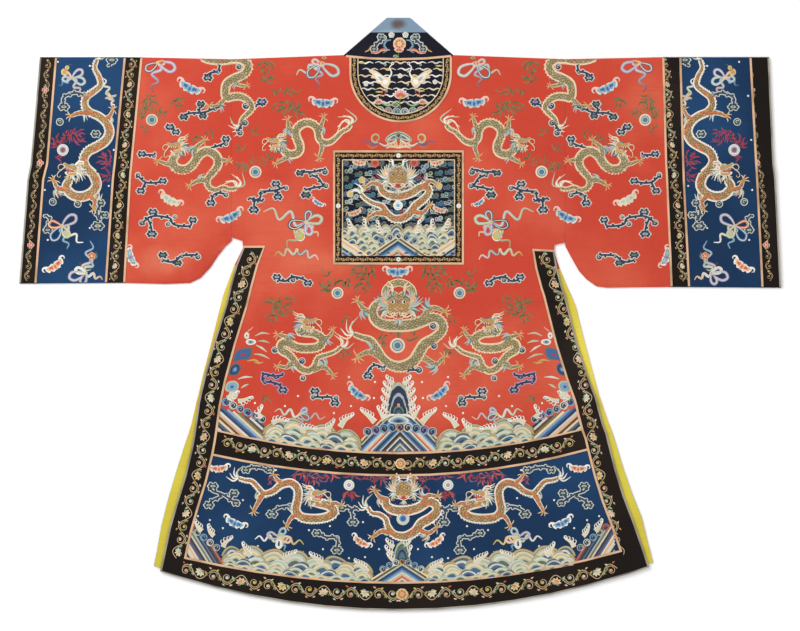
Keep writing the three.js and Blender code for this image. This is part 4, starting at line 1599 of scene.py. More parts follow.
def roller(
    pen: Pen, x: float, y: float, size: float, turns: float, silk: Silk, ground: Silk = Silk.NAVY
) -> None:
    """A spiral of still water.

    Args:
        pen: draws it.
        x: column of its centre.
        y: row of its centre.
        size: its radius.
        turns: how often it winds, negative for anticlockwise.
        silk: of the spiral.
        ground: silk beneath.
    """
    pen.disc(x, y, size, (ground, ground, silk), cuts=(0, 0.5, 0.78, 1), lift=0.3)
    pen.band(curl(x, y, size * 0.72, 90, turns, 0.12), (0.8, 0.6), silk, 1, lift=0.2)


def mountain(pen: Pen, width: float, height: float, silks: Sequence[Silk]) -> None:
    """A steep rounded mountain of nested arches, with its foot at 0, 0.

    Args:
        pen: draws it.
        width: at its foot.
        height: over its foot.
        silks: from the middle out.
    """
    half = width / 2
    outline = [
        (-half, 0), (-half * 0.93, -height * 0.45), (-half * 0.62, -height * 0.82),
        (-half * 0.22, -height * 0.97)
    ]
    outline += [(0, -height)] + [(-x, y) for x, y in reversed(outline)]
    pen.patch(outline, silks, centre=(0, 0), smooth=False, lift=0.7)


class Shader:
    """One material's node tree, and short ways to add to it."""

    def __init__(self, name: str) -> None:
        """Starts a material with a Principled shader.

        Args:
            name: the material's name.
        """
        self.material = bpy.data.materials.new(name)
        self.material.use_nodes = True
        self.tree = self.material.node_tree
        self.surface = self.tree.nodes["Principled BSDF"]

    def add(
        self, kind: str, inputs: dict[str | int, object] | None = None, **settings: object
    ) -> bpy.types.Node:
        """Adds a node.

        Args:
            kind: the node's type, without its ShaderNode prefix.
            inputs: a value or an output for each input, by name or number.
            settings: the node's own settings.

        Returns:
            The node.
        """
        node = self.tree.nodes.new("ShaderNode" + kind)
        for name, value in settings.items():
            setattr(node, name, value)
        for key, value in (inputs or {}).items():
            if isinstance(value, bpy.types.NodeSocket):
                self.tree.links.new(value, node.inputs[key])
            else:
                node.inputs[key].default_value = value
        return node

    def maths(self, operation: str, *values: object) -> bpy.types.NodeSocket:
        """The result of a Math node on its values."""
        return self.add("Math", dict(enumerate(values)), operation=operation).outputs[0]

    def mixed(self, share: object, first: object, second: object, blend: str = "MIX") -> bpy.types.NodeSocket:
        """A colour mixed from two.

        Args:
            share: how much of the second.
            first: a colour or an output.
            second: a colour or an output.
            blend: the kind of mix.

        Returns:
            The mixed colour.
        """
        node = self.add("Mix", {0: share, 6: first, 7: second}, data_type="RGBA", blend_type=blend)
        return node.outputs[2]

    def noise(self, where: bpy.types.NodeSocket, scale: float, detail: float = 3.0) -> bpy.types.NodeSocket:
        """Noise at the given coordinates, from 0 to 1."""
        return self.add("TexNoise", {"Vector": where, "Scale": scale, "Detail": detail}).outputs[0]

    def stretched(
        self, where: bpy.types.NodeSocket, scale: Sequence[float], turn: float = 0.0
    ) -> bpy.types.NodeSocket:
        """Coordinates stretched along each axis, and turned about the third."""
        node = self.add("Mapping", {0: where, 2: (0.0, 0.0, turn), 3: tuple(scale)})
        return node.outputs[0]

    def ramp(self, value: bpy.types.NodeSocket, low: float, high: float) -> bpy.types.NodeSocket:
        """A value spread from 0 at low to 1 at high."""
        node = self.add(
            "MapRange", {0: value, 1: low, 2: high, 3: 0.0, 4: 1.0}, interpolation_type="SMOOTHSTEP"
        )
        return node.outputs[0]

    def bump(self, heights: Sequence[tuple[bpy.types.NodeSocket, float]]) -> None:
        """Raises the surface.

        Args:
            heights: a pattern and its depth in metres, for each layer.
        """
        normal = None
        for pattern, depth in heights:
            inputs = {"Height": pattern, "Distance": depth, "Strength": 1.0}
            if normal is not None:
                inputs["Normal"] = normal
            normal = self.add("Bump", inputs).outputs[0]
        self.tree.links.new(normal, self.surface.inputs["Normal"])

    def set(self, **values: object) -> None:
        """Sets the shader's own sockets, with underscores for spaces."""
        for name, value in values.items():
            socket = self.surface.inputs[name.replace("_", " ")]
            if isinstance(value, bpy.types.NodeSocket):
                self.tree.links.new(value, socket)
            else:
                socket.default_value = value


@dataclass(frozen=True)
class Stain:
    """A faded or soiled place on the cloth.

    Attributes:
        at: chart column and row of its middle.
        size: half its width and height in squares.
        silk: the colour that it leans to.
        strength: how far it leans there.
    """

    at: Point
    size: Point
    silk: Silk
    strength: float


@dataclass(frozen=True)
class SilkFinish:
    """Woven silk, with rib, streaks, fading and stains.

    Attributes:
        name: the material's name.
        slot: the record's material slot; not used.
        base: web colour of the cloth.
        faded: web colour where light has worn it.
        deep: web colour where it is least worn.
        rib: distance between the weft ribs, in metres.
        rough: roughness of the cloth.
        sheen: strength of its nap.
        shine: strength of its mirror reflection.
        stains: faded or soiled places.
    """

    name: str
    slot: str
    base: str
    faded: str
    deep: str
    rib: float = 0.0011
    rough: float = 0.6
    sheen: float = 0.12
    shine: float = 0.2
    stains: tuple[Stain, ...] = ()

    def material(self, chart: Chart) -> bpy.types.Material:
        """Makes the material.

        Args:
            chart: the cutting chart, for the stains.

        Returns:
            The material.
        """
        shader = Shader(self.name)
        where = shader.add("TexCoord").outputs["Object"]
        cloudy = shader.noise(where, 3.1, 5.0)
        streaks = shader.noise(shader.stretched(where, (11.0, 260.0, 1.0)), 1.0, 3.0)
        slubs = shader.noise(shader.stretched(where, (110.0, 900.0, 1.0)), 1.0, 2.0)
        colour = shader.mixed(shader.ramp(cloudy, 0.42, 0.7), linear(self.base), linear(self.faded))
        colour = shader.mixed(shader.ramp(streaks, 0.5, 1.1), colour, linear(self.deep))
        grain = shader.maths("MULTIPLY_ADD", slubs, 0.22, 0.89)
        tone = shader.add("CombineColor", {0: grain, 1: grain, 2: grain}).outputs[0]
        colour = shader.mixed(1.0, colour, tone, "MULTIPLY")
        for stain in self.stains:
            colour = self._stained(shader, where, chart, colour, stain)
        ribs = shader.add(
            "TexWave", {"Vector": where, "Scale": 0.314 / self.rib, "Distortion": 1.5, "Detail": 1.0}
        )
        ribs.bands_direction = "Y"
        shader.bump(
            [(ribs.outputs["Fac"], 0.00012), (slubs, 0.00015), (shader.noise(where, 38.0, 3.0), 0.0009)]
        )
        shader.set(
            Base_Color=colour, Roughness=self.rough, Sheen_Weight=self.sheen, Sheen_Roughness=0.4,
            Specular_IOR_Level=self.shine
        )
        return shader.material

    def _stained(
        self, shader: Shader, where: bpy.types.NodeSocket, chart: Chart, colour: bpy.types.NodeSocket,
        stain: Stain
    ) -> bpy.types.NodeSocket:
        """Adds one stain to the colour."""
        x, y = chart.metres(np.array([stain.at]))[0]
        wide, tall = (size * SQUARE for size in stain.size)
        moved = shader.add(
            "Mapping", {0: where, 1: (-x / wide, -y / tall, 0.0), 3: (1 / wide, 1 / tall, 0.0)}
        ).outputs[0]
        reach = shader.add("VectorMath", {0: moved}, operation="LENGTH").outputs["Value"]
        ragged = shader.maths("ADD", reach, shader.maths("MULTIPLY", shader.noise(where, 26.0, 4.0), 0.9))
        share = shader.maths("MULTIPLY", shader.ramp(ragged, 1.45, 0.6), stain.strength)
        return shader.mixed(share, colour, stain.silk.rgba)


@dataclass(frozen=True)
class CordFinish:
    """Twisted silk cord, whose strands slant across a piping or binding.

    Attributes:
        name: the material's name.
        slot: the record's material slot; not used.
        base: web colour.
        worn: web colour of its soiled stretches.
        strand: distance between strands, in metres.
    """

    name: str
    slot: str
    base: str
    worn: str
    strand: float = 0.0024

    def material(self, chart: Chart) -> bpy.types.Material:
        """Makes the material.

        Args:
            chart: not read, as cord has no stains of its own.

        Returns:
            The material.
        """
        shader = Shader(self.name)
        where = shader.add("TexCoord").outputs["Object"]
        wave = shader.add("TexWave", {"Vector": where, "Scale": 0.314 / self.strand, "Distortion": 0.6})
        wave.bands_direction = "DIAGONAL"
        strands = wave.outputs["Fac"]
        colour = shader.mixed(
            shader.ramp(shader.noise(where, 17.0, 4.0), 0.4, 0.72), linear(self.base), linear(self.worn)
        )
        # Painted shade: the strand pattern darkens the colour in the grooves between the strands, with a
        # faint painted highlight on their crowns, matching the bump.
        shade = shader.maths("MULTIPLY_ADD", strands, 0.22, 0.82)
        tone = shader.add("CombineColor", {0: shade, 1: shade, 2: shade}).outputs[0]
        colour = shader.mixed(1.0, colour, tone, "MULTIPLY")
        shader.bump([(strands, 0.0004)])
        shader.set(Base_Color=colour, Roughness=0.62, Sheen_Weight=0.2, Specular_IOR_Level=0.3)
        return shader.material


@dataclass(frozen=True)
class ThreadFinish:
    """Embroidery silk in the colours of the strokes, with scales where a stroke asks for them.

    Attributes:
        name: the material's name.
        slot: the record's material slot; not used.
        thread: distance between threads, in metres.
        scale: width of one scale, in metres.
        gilt: how metallic the threads are.
    """

    name: str
    slot: str
    thread: float = 0.0007
    scale: float = 0.005
    gilt: float = 0.0

    def material(self, chart: Chart) -> bpy.types.Material:
        """Makes the material.

        Args:
            chart: not read, as the threads follow their own map.

        Returns:
            The material.
        """
        shader = Shader(self.name)
        dyed = shader.add("VertexColor", layer_name="Silk")
        where = shader.add("UVMap", uv_map="Thread").outputs[0]
        laid = shader.stretched(where, (0.66, 1.0, 1.0), math.radians(45))
        cells = {"Vector": laid, "Scale": 1 / self.scale, "Randomness": 0.35}
        net = shader.add("TexVoronoi", cells, feature="DISTANCE_TO_EDGE").outputs["Distance"]
        tint = shader.add("TexVoronoi", cells).outputs["Color"]
        tint = shader.add("SeparateColor", {0: tint}).outputs[0]
        pale = shader.mixed(0.45, dyed.outputs["Color"], Silk.CREAM.rgba)
        deep = shader.mixed(0.4, dyed.outputs["Color"], Silk.OLIVE.rgba)
        varied = shader.mixed(shader.ramp(tint, 0.3, 0.7), deep, pale)
        colour = shader.mixed(
            shader.maths("MULTIPLY", dyed.outputs["Alpha"], 0.5), dyed.outputs["Color"], varied
        )
        line = shader.maths("MULTIPLY", shader.ramp(net, 0.17, 0.05), dyed.outputs["Alpha"])
        colour = shader.mixed(shader.maths("MULTIPLY", line, 0.8), colour, (0.02, 0.022, 0.012, 1.0))
        wave = shader.add(
            "TexWave", {"Vector": where, "Scale": 0.314 / self.thread, "Distortion": 0.8, "Detail": 1.0}
        )
        wave.bands_direction = "X"
        threads = wave.outputs["Fac"]
        # Painted shade and highlight: the thread pattern darkens the colour between the threads and lightens
        # it on their crowns, matching the bump.
        shade = shader.maths("MULTIPLY_ADD", threads, 0.24, 0.86)
        tone = shader.add("CombineColor", {0: shade, 1: shade, 2: shade}).outputs[0]
        colour = shader.mixed(1.0, colour, tone, "MULTIPLY")
        domes = shader.maths("MULTIPLY", shader.ramp(net, 0.0, 0.4), dyed.outputs["Alpha"])
        shader.bump([(domes, 0.0005), (threads, 0.0002)])
        shader.set(
            Base_Color=colour, Roughness=0.48, Sheen_Weight=0.15, Specular_IOR_Level=0.45, Metallic=self.gilt
        )
        return shader.material


@dataclass(frozen=True)
class Crease:
    """A soft ridge in the laid cloth, or a trough beside one.

    Attributes:
        start: chart point at one end.
        end: chart point at the other.
        height: millimetres.
        width: half its width in millimetres.
    """

    start: Point
    end: Point
    height: float
    width: float

    def rise(self, places: np.ndarray) -> np.ndarray:
        """How far the crease lifts each place.

        Args:
            places: chart columns and rows.

        Returns:
            Heights in metres.
        """
        a, b = np.array(self.start), np.array(self.end)
        along = b - a
        share = np.clip((places - a) @ along / (along @ along), 0, 1)
        off = np.linalg.norm(places - a - share[:, None] * along, axis=1) * SQUARE * 1000
        fade = np.sin(np.pi * np.clip(share, 0.02, 0.98)) ** 0.5
        return 0.001 * self.height * fade * np.exp(-((off / self.width) ** 2))


CREASES = tuple(
    Crease(*row)
    for row in (
        ((243, 105), (262, 196), 1.4, 14),
        ((205, 198), (233, 226), 1.8, 10),
        ((214, 242), (240, 206), 1.6, 9),
        ((250, 236), (284, 262), 1.3, 12),
        ((556, 196), (538, 232), 1.5, 11),
        ((580, 240), (561, 206), 1.6, 9),
        ((552, 104), (541, 168), 1.2, 14),
        ((150, 96), (137, 160), 1.2, 13),
        ((165, 205), (205, 262), 1.3, 14),
        ((640, 92), (655, 158), 1.2, 13),
        ((622, 250), (590, 200), 1.3, 14),
        ((90, 70), (84, 158), 1.1, 12),
        ((716, 186), (724, 268), 1.1, 12),
        ((262, 300), (250, 372), 1.3, 13),
        ((315, 312), (300, 402), 1.2, 15),
        ((478, 306), (492, 410), 1.3, 15),
        ((548, 300), (566, 380), 1.2, 12),
        ((258, 470), (240, 548), 1.6, 15),
        ((340, 478), (334, 566), 1.4, 16),
        ((455, 476), (464, 564), 1.5, 16),
        ((548, 468), (566, 540), 1.4, 14),
        ((398, 70), (399, 146), 0.9, 10),
        ((300, 90), (236, 84), 1.2, 10),
        ((560, 86), (500, 92), 1.1, 10),
    )
)
LAYER_SPLIT = 0.00255  # what lies higher than this belongs to the upper layer


def cloth_rise(chart: Chart, points: np.ndarray) -> np.ndarray:
    """How far the creases lift points of the upper layer.

    Args:
        chart: the cutting chart.
        points: an array of x, y and z at rest.

    Returns:
        Heights in metres, 0 for the lower layer.
    """
    places = chart.squares(points[:, :2])
    total = sum((crease.rise(places) for crease in CREASES), np.zeros(len(points)))
    return np.where(points[:, 2] > LAYER_SPLIT, total, 0)


# column and row of the middle of the bib's round end, and its reach along each
BIB_END = (400.58, 72.92, 51.25, 49.6)
BIB_CORNERS = (0, 18, 36, 52, 66, 77, 84, 96)  # where the solid's outline has corners, in degrees


def rounded_end(chart: Chart, points: np.ndarray) -> np.ndarray:
    """Moves points of the bib outwards, so that its end is round where the solid has facets.

    Args:
        chart: the cutting chart.
        points: an array of x, y and z at rest.

    Returns:
        The moved points.
    """
    squares = chart.squares(points[:, :2])
    reach = (squares - BIB_END[:2]) / BIB_END[2:]
    turns = np.degrees(np.arctan2(reach[:, 1], abs(reach[:, 0])))
    corners = np.array(BIB_CORNERS, float)
    nearest = np.clip(np.searchsorted(corners, turns) - 1, 0, len(corners) - 2)
    first, last = corners[nearest], corners[nearest + 1]
    growth = np.cos(np.radians(turns - (first + last) / 2)) / np.cos(np.radians((last - first) / 2))
    growth = np.where(turns > 0, growth, 1.0)
    squares = (squares - BIB_END[:2]) * growth[:, None] + BIB_END[:2]
    return np.column_stack((chart.metres(squares), points[:, 2]))


FINISHES: dict[str, SilkFinish | CordFinish | ThreadFinish] = {
    "red": SilkFinish(
        "Red silk",
        "red_silk",
        "BF3D29",
        "CE5A40",
        "AE3321",
        stains=(
            Stain((215, 268), (30, 30), Silk.CRIMSON, 0.25),
            Stain((232, 250), (14, 9), Silk.PEACH, 0.3),
            Stain((330, 262), (60, 16), Silk.PEACH, 0.1),
            Stain((165, 262), (40, 18), Silk.PEACH, 0.14),
            Stain((560, 180), (40, 90), Silk.CRIMSON, 0.2),
        ),
    ),
    "blue": SilkFinish(
        "Blue silk", "blue_silk", "112F50", "1A4068", "0E2542", rough=0.6, sheen=0.04, shine=0.12
    ),
    "black": SilkFinish(
        "Black satin", "black_satin", "17110E", "241B15", "0D0A08", rough=0.6, sheen=0.0, shine=0.1
    ),
    "navy": SilkFinish(
        "Navy satin", "navy_satin", "141522", "1C1D29", "0C0D16", rough=0.6, sheen=0.0, shine=0.1
    ),
    "pale": SilkFinish(
        "Pale worn silk",
        "pale_silk",
        "758DA3",
        "9AA6AE",
        "5E7893",
        rough=0.7,
        stains=(Stain((399, 24), (11, 7), Silk.UMBER, 0.85), Stain((390, 33), (20, 4), Silk.SAGE, 0.3)),
    ),
    "yellow": SilkFinish(
        "Yellow lining", "yellow_lining", "C9B93A", "DDD04E", "A3953A", rough=0.4, sheen=0.1
    ),
    "cream": CordFinish("Cream cord", "cream_piping", "DDB590", "B78F6B"),
    "grey": CordFinish("Pale binding", "grey_binding", "A39D8C", "7E7768", strand=0.0016),
    "thread": ThreadFinish("Embroidery silk", "red_silk"),
}


@dataclass(frozen=True)
class SewnPiece:
    """One cut piece of the robe: a thin wall on its solid, finer and with creases.

    Attributes:
        node: the solid that it stands for.
        finish: name of what it is made of.
        edge: the longest edge left, in metres.
        strip: width of a long strip, in metres, or 0 for a panel.
        folds: how many times the piece's length lies over itself.
        trims: solids of the cords and bindings sewn along it.
    """

    node: str
    finish: str
    edge: float = 0.016
    strip: float = 0.0
    folds: int = 1
    trims: tuple[str, ...] = ()

    def on_side(self, side: str) -> "SewnPiece":
        """The piece for one side of the robe, where its name has a star for the side."""
        trims = tuple(name.replace("*", side) for name in self.trims)
        return replace(self, node=self.node.replace("*", side), trims=trims)

    def build(self, chart: Chart, materials: dict[str, bpy.types.Material]) -> bpy.types.Object:
        """Makes the piece.

        Args:
            chart: the cutting chart.
            materials: materials by finish name.

        Returns:
            The object.
        """
        bm = bmesh.new()
        bm.from_mesh(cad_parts[self.node].data)
        bmesh.ops.remove_doubles(bm, verts=bm.verts[:], dist=1e-5)
        bmesh.ops.join_triangles(
            bm, faces=bm.faces[:], angle_face_threshold=0.7, angle_shape_threshold=math.pi, cmp_seam=False
        )
        for _ in range(7):
            longest = [e for e in bm.edges if e.calc_length() > self.edge]
            if not longest:
                break
            bmesh.ops.subdivide_edges(bm, edges=longest, cuts=1, use_grid_fill=True)
        points = np.array([vertex.co for vertex in bm.verts])
        if self.node.startswith("bib_"):
            points = rounded_end(chart, points)
        points[:, 2] += cloth_rise(chart, points)
        for vertex, place in zip(bm.verts, points):
            vertex.co = place
        for layer in list(bm.loops.layers.uv):
            bm.loops.layers.uv.remove(layer)
        mesh = bpy.data.meshes.new("sewn_" + self.node)
        bm.to_mesh(mesh)
        bm.free()
        finish = FINISHES[self.finish]
        mesh.materials.clear()
        mesh.materials.append(materials[finish.name])
        mesh.shade_smooth()
        mesh.set_sharp_from_angle(angle=math.radians(50))
        piece = bpy.data.objects.new("sewn_" + self.node, mesh)
        bpy.context.scene.collection.objects.link(piece)
        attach(piece, "root")
        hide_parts(self.node)
        return piece

    def declare(self, piece: bpy.types.Object) -> None:
        """States the size that the piece was cut to.

        Args:
            piece: its object.
        """
        area = sum(face.area for face in piece.data.polygons) / 2
        low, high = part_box(self.node)
        wide, tall = high[0] - low[0], (high[1] - low[1]) * self.folds
        if self.strip:
            wide, tall = self.strip, area / self.strip
        tall = max(tall, area / wide)
        LOG.info(
            "%s: cut %.3f x %.3f m, area %.3f, %d faces", piece.name, wide, tall, area,
            len(piece.data.polygons)
        )


@dataclass
class Workshop:
    """What every part of the robe is made with.

    Attributes:
        chart: the cutting chart.
        materials: materials by finish name.
        pieces: the sewn pieces by solid.
        cloth: the upper surface, once the pieces are laid.
        sewn: the embroidery laid so far.
    """

    chart: Chart
    materials: dict[str, bpy.types.Material] = field(default_factory=dict)
    pieces: dict[str, bpy.types.Object] = field(default_factory=dict)
    cloth: Cloth | None = None
    sewn: list[bpy.types.Object] = field(default_factory=list)

    def material(self, name: str) -> bpy.types.Material:
        """The material of a finish, made when first asked for."""
        finish = FINISHES[name]
        if finish.name not in self.materials:
            self.materials[finish.name] = finish.material(self.chart)
        return self.materials[finish.name]

    def stitch(self, needle: "Needle", finish: str, ground: tuple[str, ...]) -> None:
        """Lowers a zone's embroidery onto the cloth.

        Args:
            needle: the strokes of the zone.
            finish: name of the thread's finish.
            ground: name patterns of the pieces that carry it.
        """
        self.sewn.append(needle.finish(self.cloth, self.material(finish), ground))


@dataclass
class Assembly:
    """Sewn pieces that belong together, and the embroidery on them."""

    shop: Workshop
    cuts: ClassVar[tuple[SewnPiece, ...]] = ()

    def build(self) -> None:
        """Cuts and lays the pieces."""
        for cut in self.each_cut():
            self.shop.material(cut.finish)
            self.shop.pieces[cut.node] = cut.build(self.shop.chart, self.shop.materials)

    def each_cut(self) -> list[SewnPiece]:
        """The table's pieces, with those on both sides given twice."""
        found = []
        for cut in self.cuts:
            found += [cut.on_side(side) for side in ("left", "right")] if "*" in cut.node else [cut]
        return found

    def declare(self) -> None:
        """States the flat size of each sheet."""
        trims = {name for group in GARMENT for cut in group(self.shop).each_cut() for name in cut.trims}
        for cut in self.each_cut():
            if cut.node not in trims:
                cut.declare(self.shop.pieces[cut.node])

    def dress(self) -> None:
        """Embroiders the pieces."""

    def embroider(
        self, name: str, zone: tuple[float, ...], draw: Callable[[Pen], None], *ground: str
    ) -> None:
        """Embroiders one zone, or one on each side where the name ends in a star.

        Args:
            name: the embroidery's name.
            zone: its first column and row, and its last, on the left side.
            draw: draws it with a pen on the chart.
            ground: name patterns of the pieces that carry it.
        """
        x0, y0, x1, y1 = zone
        far = (2 * CENTRE - x1, y0, 2 * CENTRE - x0, y1)
        sides = (("left", 0, zone), ("right", 1, far)) if name.endswith("*") else (("", 0, zone),)
        for side, turn, own in sides:
            needle = Needle(name.replace("*", side), self.shop.chart, own, len(self.shop.sewn) + 11)
            draw(Pen(needle).sides()[turn])
            self.shop.stitch(needle, "thread", ground)


# The courses of the dragons' bodies, their legs and the arms of the clouds are chart points that were read
# along those in the photo. So are the points of the rocks, bird and leaves beside the lower dragon,
# the bow above the badge, the crests, the foam and swell before the mountain, and the collar's cloud and
# ribbons. This is an open failure.
CHEST_DRAGON = Dragon(
    Head(Spot(279, 143, 0.88, 0)),
    ((281, 142), (282, 148), (286, 153), (292, 155), (299, 152), (300, 145), (297, 138), (296, 131),
     (301, 125), (308, 123), (315, 126), (318, 132), (319, 139), (324, 143), (331, 142), (337, 137),
     (342, 132), (348, 129), (351, 125)),
    (5.5, 8, 8.5, 8.5, 8.5, 8, 7, 5.5, 4, 3),
    (
        Leg(((296, 134), (289, 128), (288, 121)), -85, 0.9, -1),
        Leg(((319, 131), (321, 126), (324, 118)), -80, 0.8),
        Leg(((291, 155), (284, 159), (277, 163)), 165, 0.8),
        Leg(((318, 137), (322, 147), (319, 157)), 100, 0.85, -1),
    ),
    tail=-128,
    plume=15,
    hook=-0.9,
)
SHOULDER_DRAGON = Dragon(
    None,
    ((198, 56), (208, 60), (221, 61), (232, 59.5), (242, 60), (248, 66), (244, 74), (235, 78), (227, 83),
     (225, 90), (226, 98), (233, 97), (241, 97), (248, 101), (252, 108), (247, 114), (242, 119),
     (240, 125)),
    (6, 8, 9, 9, 9, 8.5, 8, 7, 5, 3),
    (
        Leg(((226, 98), (217, 106), (210, 106)), 190, 0.8),
        Leg(((232, 80), (239, 85), (246, 86)), 5, 0.7, -1),
    ),
    tail=160,
    plume=12,
    hook=0.5,
)
SLEEVE_DRAGON = Dragon(
    Head(Spot(181, 147, 0.95, -8)),
    ((182, 147), (177, 154), (173, 161), (177, 168), (186, 169), (193, 164), (198, 156), (205, 151),
     (212, 152), (218, 158), (218, 166), (213, 173), (208, 179), (209, 187), (216, 190), (223, 187),
     (230, 189), (237, 188)),
    (6, 8.5, 9, 9, 9, 9, 8, 6.5, 5, 3.5, 3),
    (
        Leg(((195, 158), (196, 148), (204, 141)), -40, 0.85, -1),
        Leg(((176, 164), (167, 164), (159, 161)), 190, 0.85),
        Leg(((217, 160), (223, 160), (228, 161)), 0, 0.8),
        Leg(((208, 180), (198, 181), (191, 185)), 165, 0.85),
    ),
    tail=-95,
    plume=15,
    hook=-0.7,
    fins=-1,
)
CENTRE_DRAGON = Dragon(
    Head(Spot(398.5, 305, 1.12), Facing.FRONT),
    ((389, 300), (380, 301.5), (373, 308.5), (374, 318.5), (383, 325), (398, 326), (412, 325), (424, 321),
     (434, 318), (441, 322), (442, 330), (434, 338), (424, 344), (419, 352), (413, 361), (403, 366),
     (392, 365), (383, 358), (377, 348), (371, 340), (362, 337), (354, 334)),
    (6, 8, 10.5, 12, 12.5, 11.5, 10, 10, 11, 12, 12, 10, 8, 6, 4),
    (
        Leg(((374, 314), (364, 309), (358, 302)), -110, 1.0, -1),
        Leg(((421, 320), (432, 308), (444, 311)), 30, 1.1),
        Leg(((384, 359), (370, 352), (358, 356)), 115, 1.15, -1),
        Leg(((424, 358), (436, 364), (443, 358)), -40, 1.0),
    ),
    tail=-135,
    plume=17,
    hook=0.5,
    loops=(((385, 296), (386, 290), (391, 285), (399, 282.5), (407, 285), (412, 290), (413, 296)),),
)
LOWER_DRAGON = Dragon(
    Head(Spot(303, 324, 1.0, 0, True)),
    ((300, 326), (299, 332), (306, 333), (315, 334), (322, 339), (319, 346), (309, 348), (297, 347),
     (287, 342), (281, 344), (281, 350), (289, 355), (295, 362), (301, 369), (309, 371), (315, 366),
     (318, 358), (327, 355), (335, 352), (341, 347)),
    (6, 8, 9, 9, 9, 8.5, 8, 7, 6.5, 5, 3.5, 3),
    (
        Leg(((293, 344), (286, 337), (279, 335)), 200, 0.9),
        Leg(((321, 338), (328, 337), (333, 331)), -80, 0.8, -1),
        Leg(((294, 361), (287, 367), (279, 366)), 170, 0.85),
        Leg(((313, 370), (324, 367), (332, 374)), 65, 0.9, -1),
    ),
    tail=-50,
    plume=13,
    hook=-0.4,
)
SLEEVE_CLOUDS = (
    Cloud(((
        (143, 223), (148, 218), (155, 216), (165, 217), (171, 219), (173, 224), (181, 226), (190, 226),
        (192, 222)
    ),
           ((148, 219), (151, 226), (152, 232))), ((153, 212, 4.6), (152, 234, 5),
           (193, 220, 4)), ((142, 223, 2.6), (175, 217, 1.8), (168, 224, 2.2))),
    Cloud((
        ((163, 260), (170, 262), (177, 260), (181, 256), (190, 255), (197, 255)),
    ), ((163, 255, 4.5), (178, 263, 4)),
          ((198, 257, 2.6), (182, 256, 2)), heart=Silk.LEAF),
    Cloud(
        (((138, 176), (145, 182), (153, 183), (161, 182)), ((146, 182), (142, 190))),
        ((163, 181, 4), (141, 191, 4)), ((138, 175, 2.2),)
    ),
    Cloud(
        (((212, 201), (213, 196), (218, 193), (225, 194)),), ((211, 203, 4.4),),
        ((226, 195, 2.3), (214, 196, 1.7))
    ),
    Cloud((((211, 148), (218, 146), (225, 143)),), ((226, 139, 4),), ((226, 144, 2.2),)),
    Cloud((
        ((184, 115), (192, 113), (199, 113), (206, 112), (213, 109), (220, 107)), ((199, 113), (200, 107))
    ),
          ((184, 117, 4.4), (201, 104, 4), (203, 116, 4)), ((215, 109, 2),), heart=Silk.LEAF),
    Cloud((((170, 128), (176, 131)),), ((170, 127, 4.4), (176, 132, 4))),
    Cloud((((140, 155), (147, 155), (155, 155)),), ((142, 154, 4),), ((154, 156, 2),)),
    Cloud((((220, 65), (218, 71), (211, 73), (206, 76)),), ((208, 78, 4.4),), ((218, 72, 2), (239, 67, 2.6))),
)
CHEST_CLOUDS = (
    Cloud(((
        (254, 207), (255, 201), (260, 198), (262, 192), (270, 191), (277, 190), (285, 187)
    ), ((249, 198), (256, 200), (263, 201)),
           ((277, 190), (278, 196))), ((254, 210, 5), (276, 184, 4.4), (278, 197, 4.4)), ((286, 188, 2.2),
           (262, 192, 2.2))),
    Cloud((((299, 173), (306, 172), (314, 172), (320, 170), (325, 170)), ((311, 175), (318, 178), (323, 185)),
           ((324, 186), (313, 188), (305, 190))), ((306, 195, 5), (300, 173, 4)), ((325, 172, 2.8),
           (326, 186, 2.4), (311, 175, 1.8)),
          heart=Silk.LEAF),
    Cloud((((256, 105), (262, 104)),), ((262, 102, 4.8),), ((246, 106, 3.2),), heart=Silk.LILAC),
    Cloud(
        (((278, 280), (286, 281), (292, 277), (300, 278), (307, 281)),), ((277, 277, 4.2), (308, 283, 4.2)),
        ((293, 280, 2.4),)
    ),
    Cloud((((242, 124), (238, 131)),), (), ((245, 123, 2.8), (240, 133, 2.8))),
)
LOWER_CLOUDS = (
    Cloud((
        ((283, 375), (274, 376), (264, 374), (263, 381), (270, 382), (278, 384), (283, 389)),
    ), ((283, 390, 4.4),), ((276, 377, 2.2), (265, 382, 1.8)),
          outer=Silk.LILAC),
    Cloud(
        (((313, 397), (322, 397), (332, 397)),), ((315, 391, 4.6), (335, 403, 4.4)),
        ((313, 397, 2.2), (336, 398, 2.4))
    ),
    Cloud((((302, 361), (303, 361.5)),), (), ((302, 361, 2.8), (275, 350, 2.8), (303, 378, 2.4))),
)
CENTRE_CLOUDS = (
    Cloud((((384, 368), (376, 365), (370, 368), (368, 373)),), ((368, 376, 4.6),), ((383, 369, 2),)),
    Cloud((((408, 370), (418, 370)),), (), ((419, 370, 3), (434, 346, 2.8), (433, 326, 3))),
)
FADED = (Silk.OLIVE, Silk.MOSS)


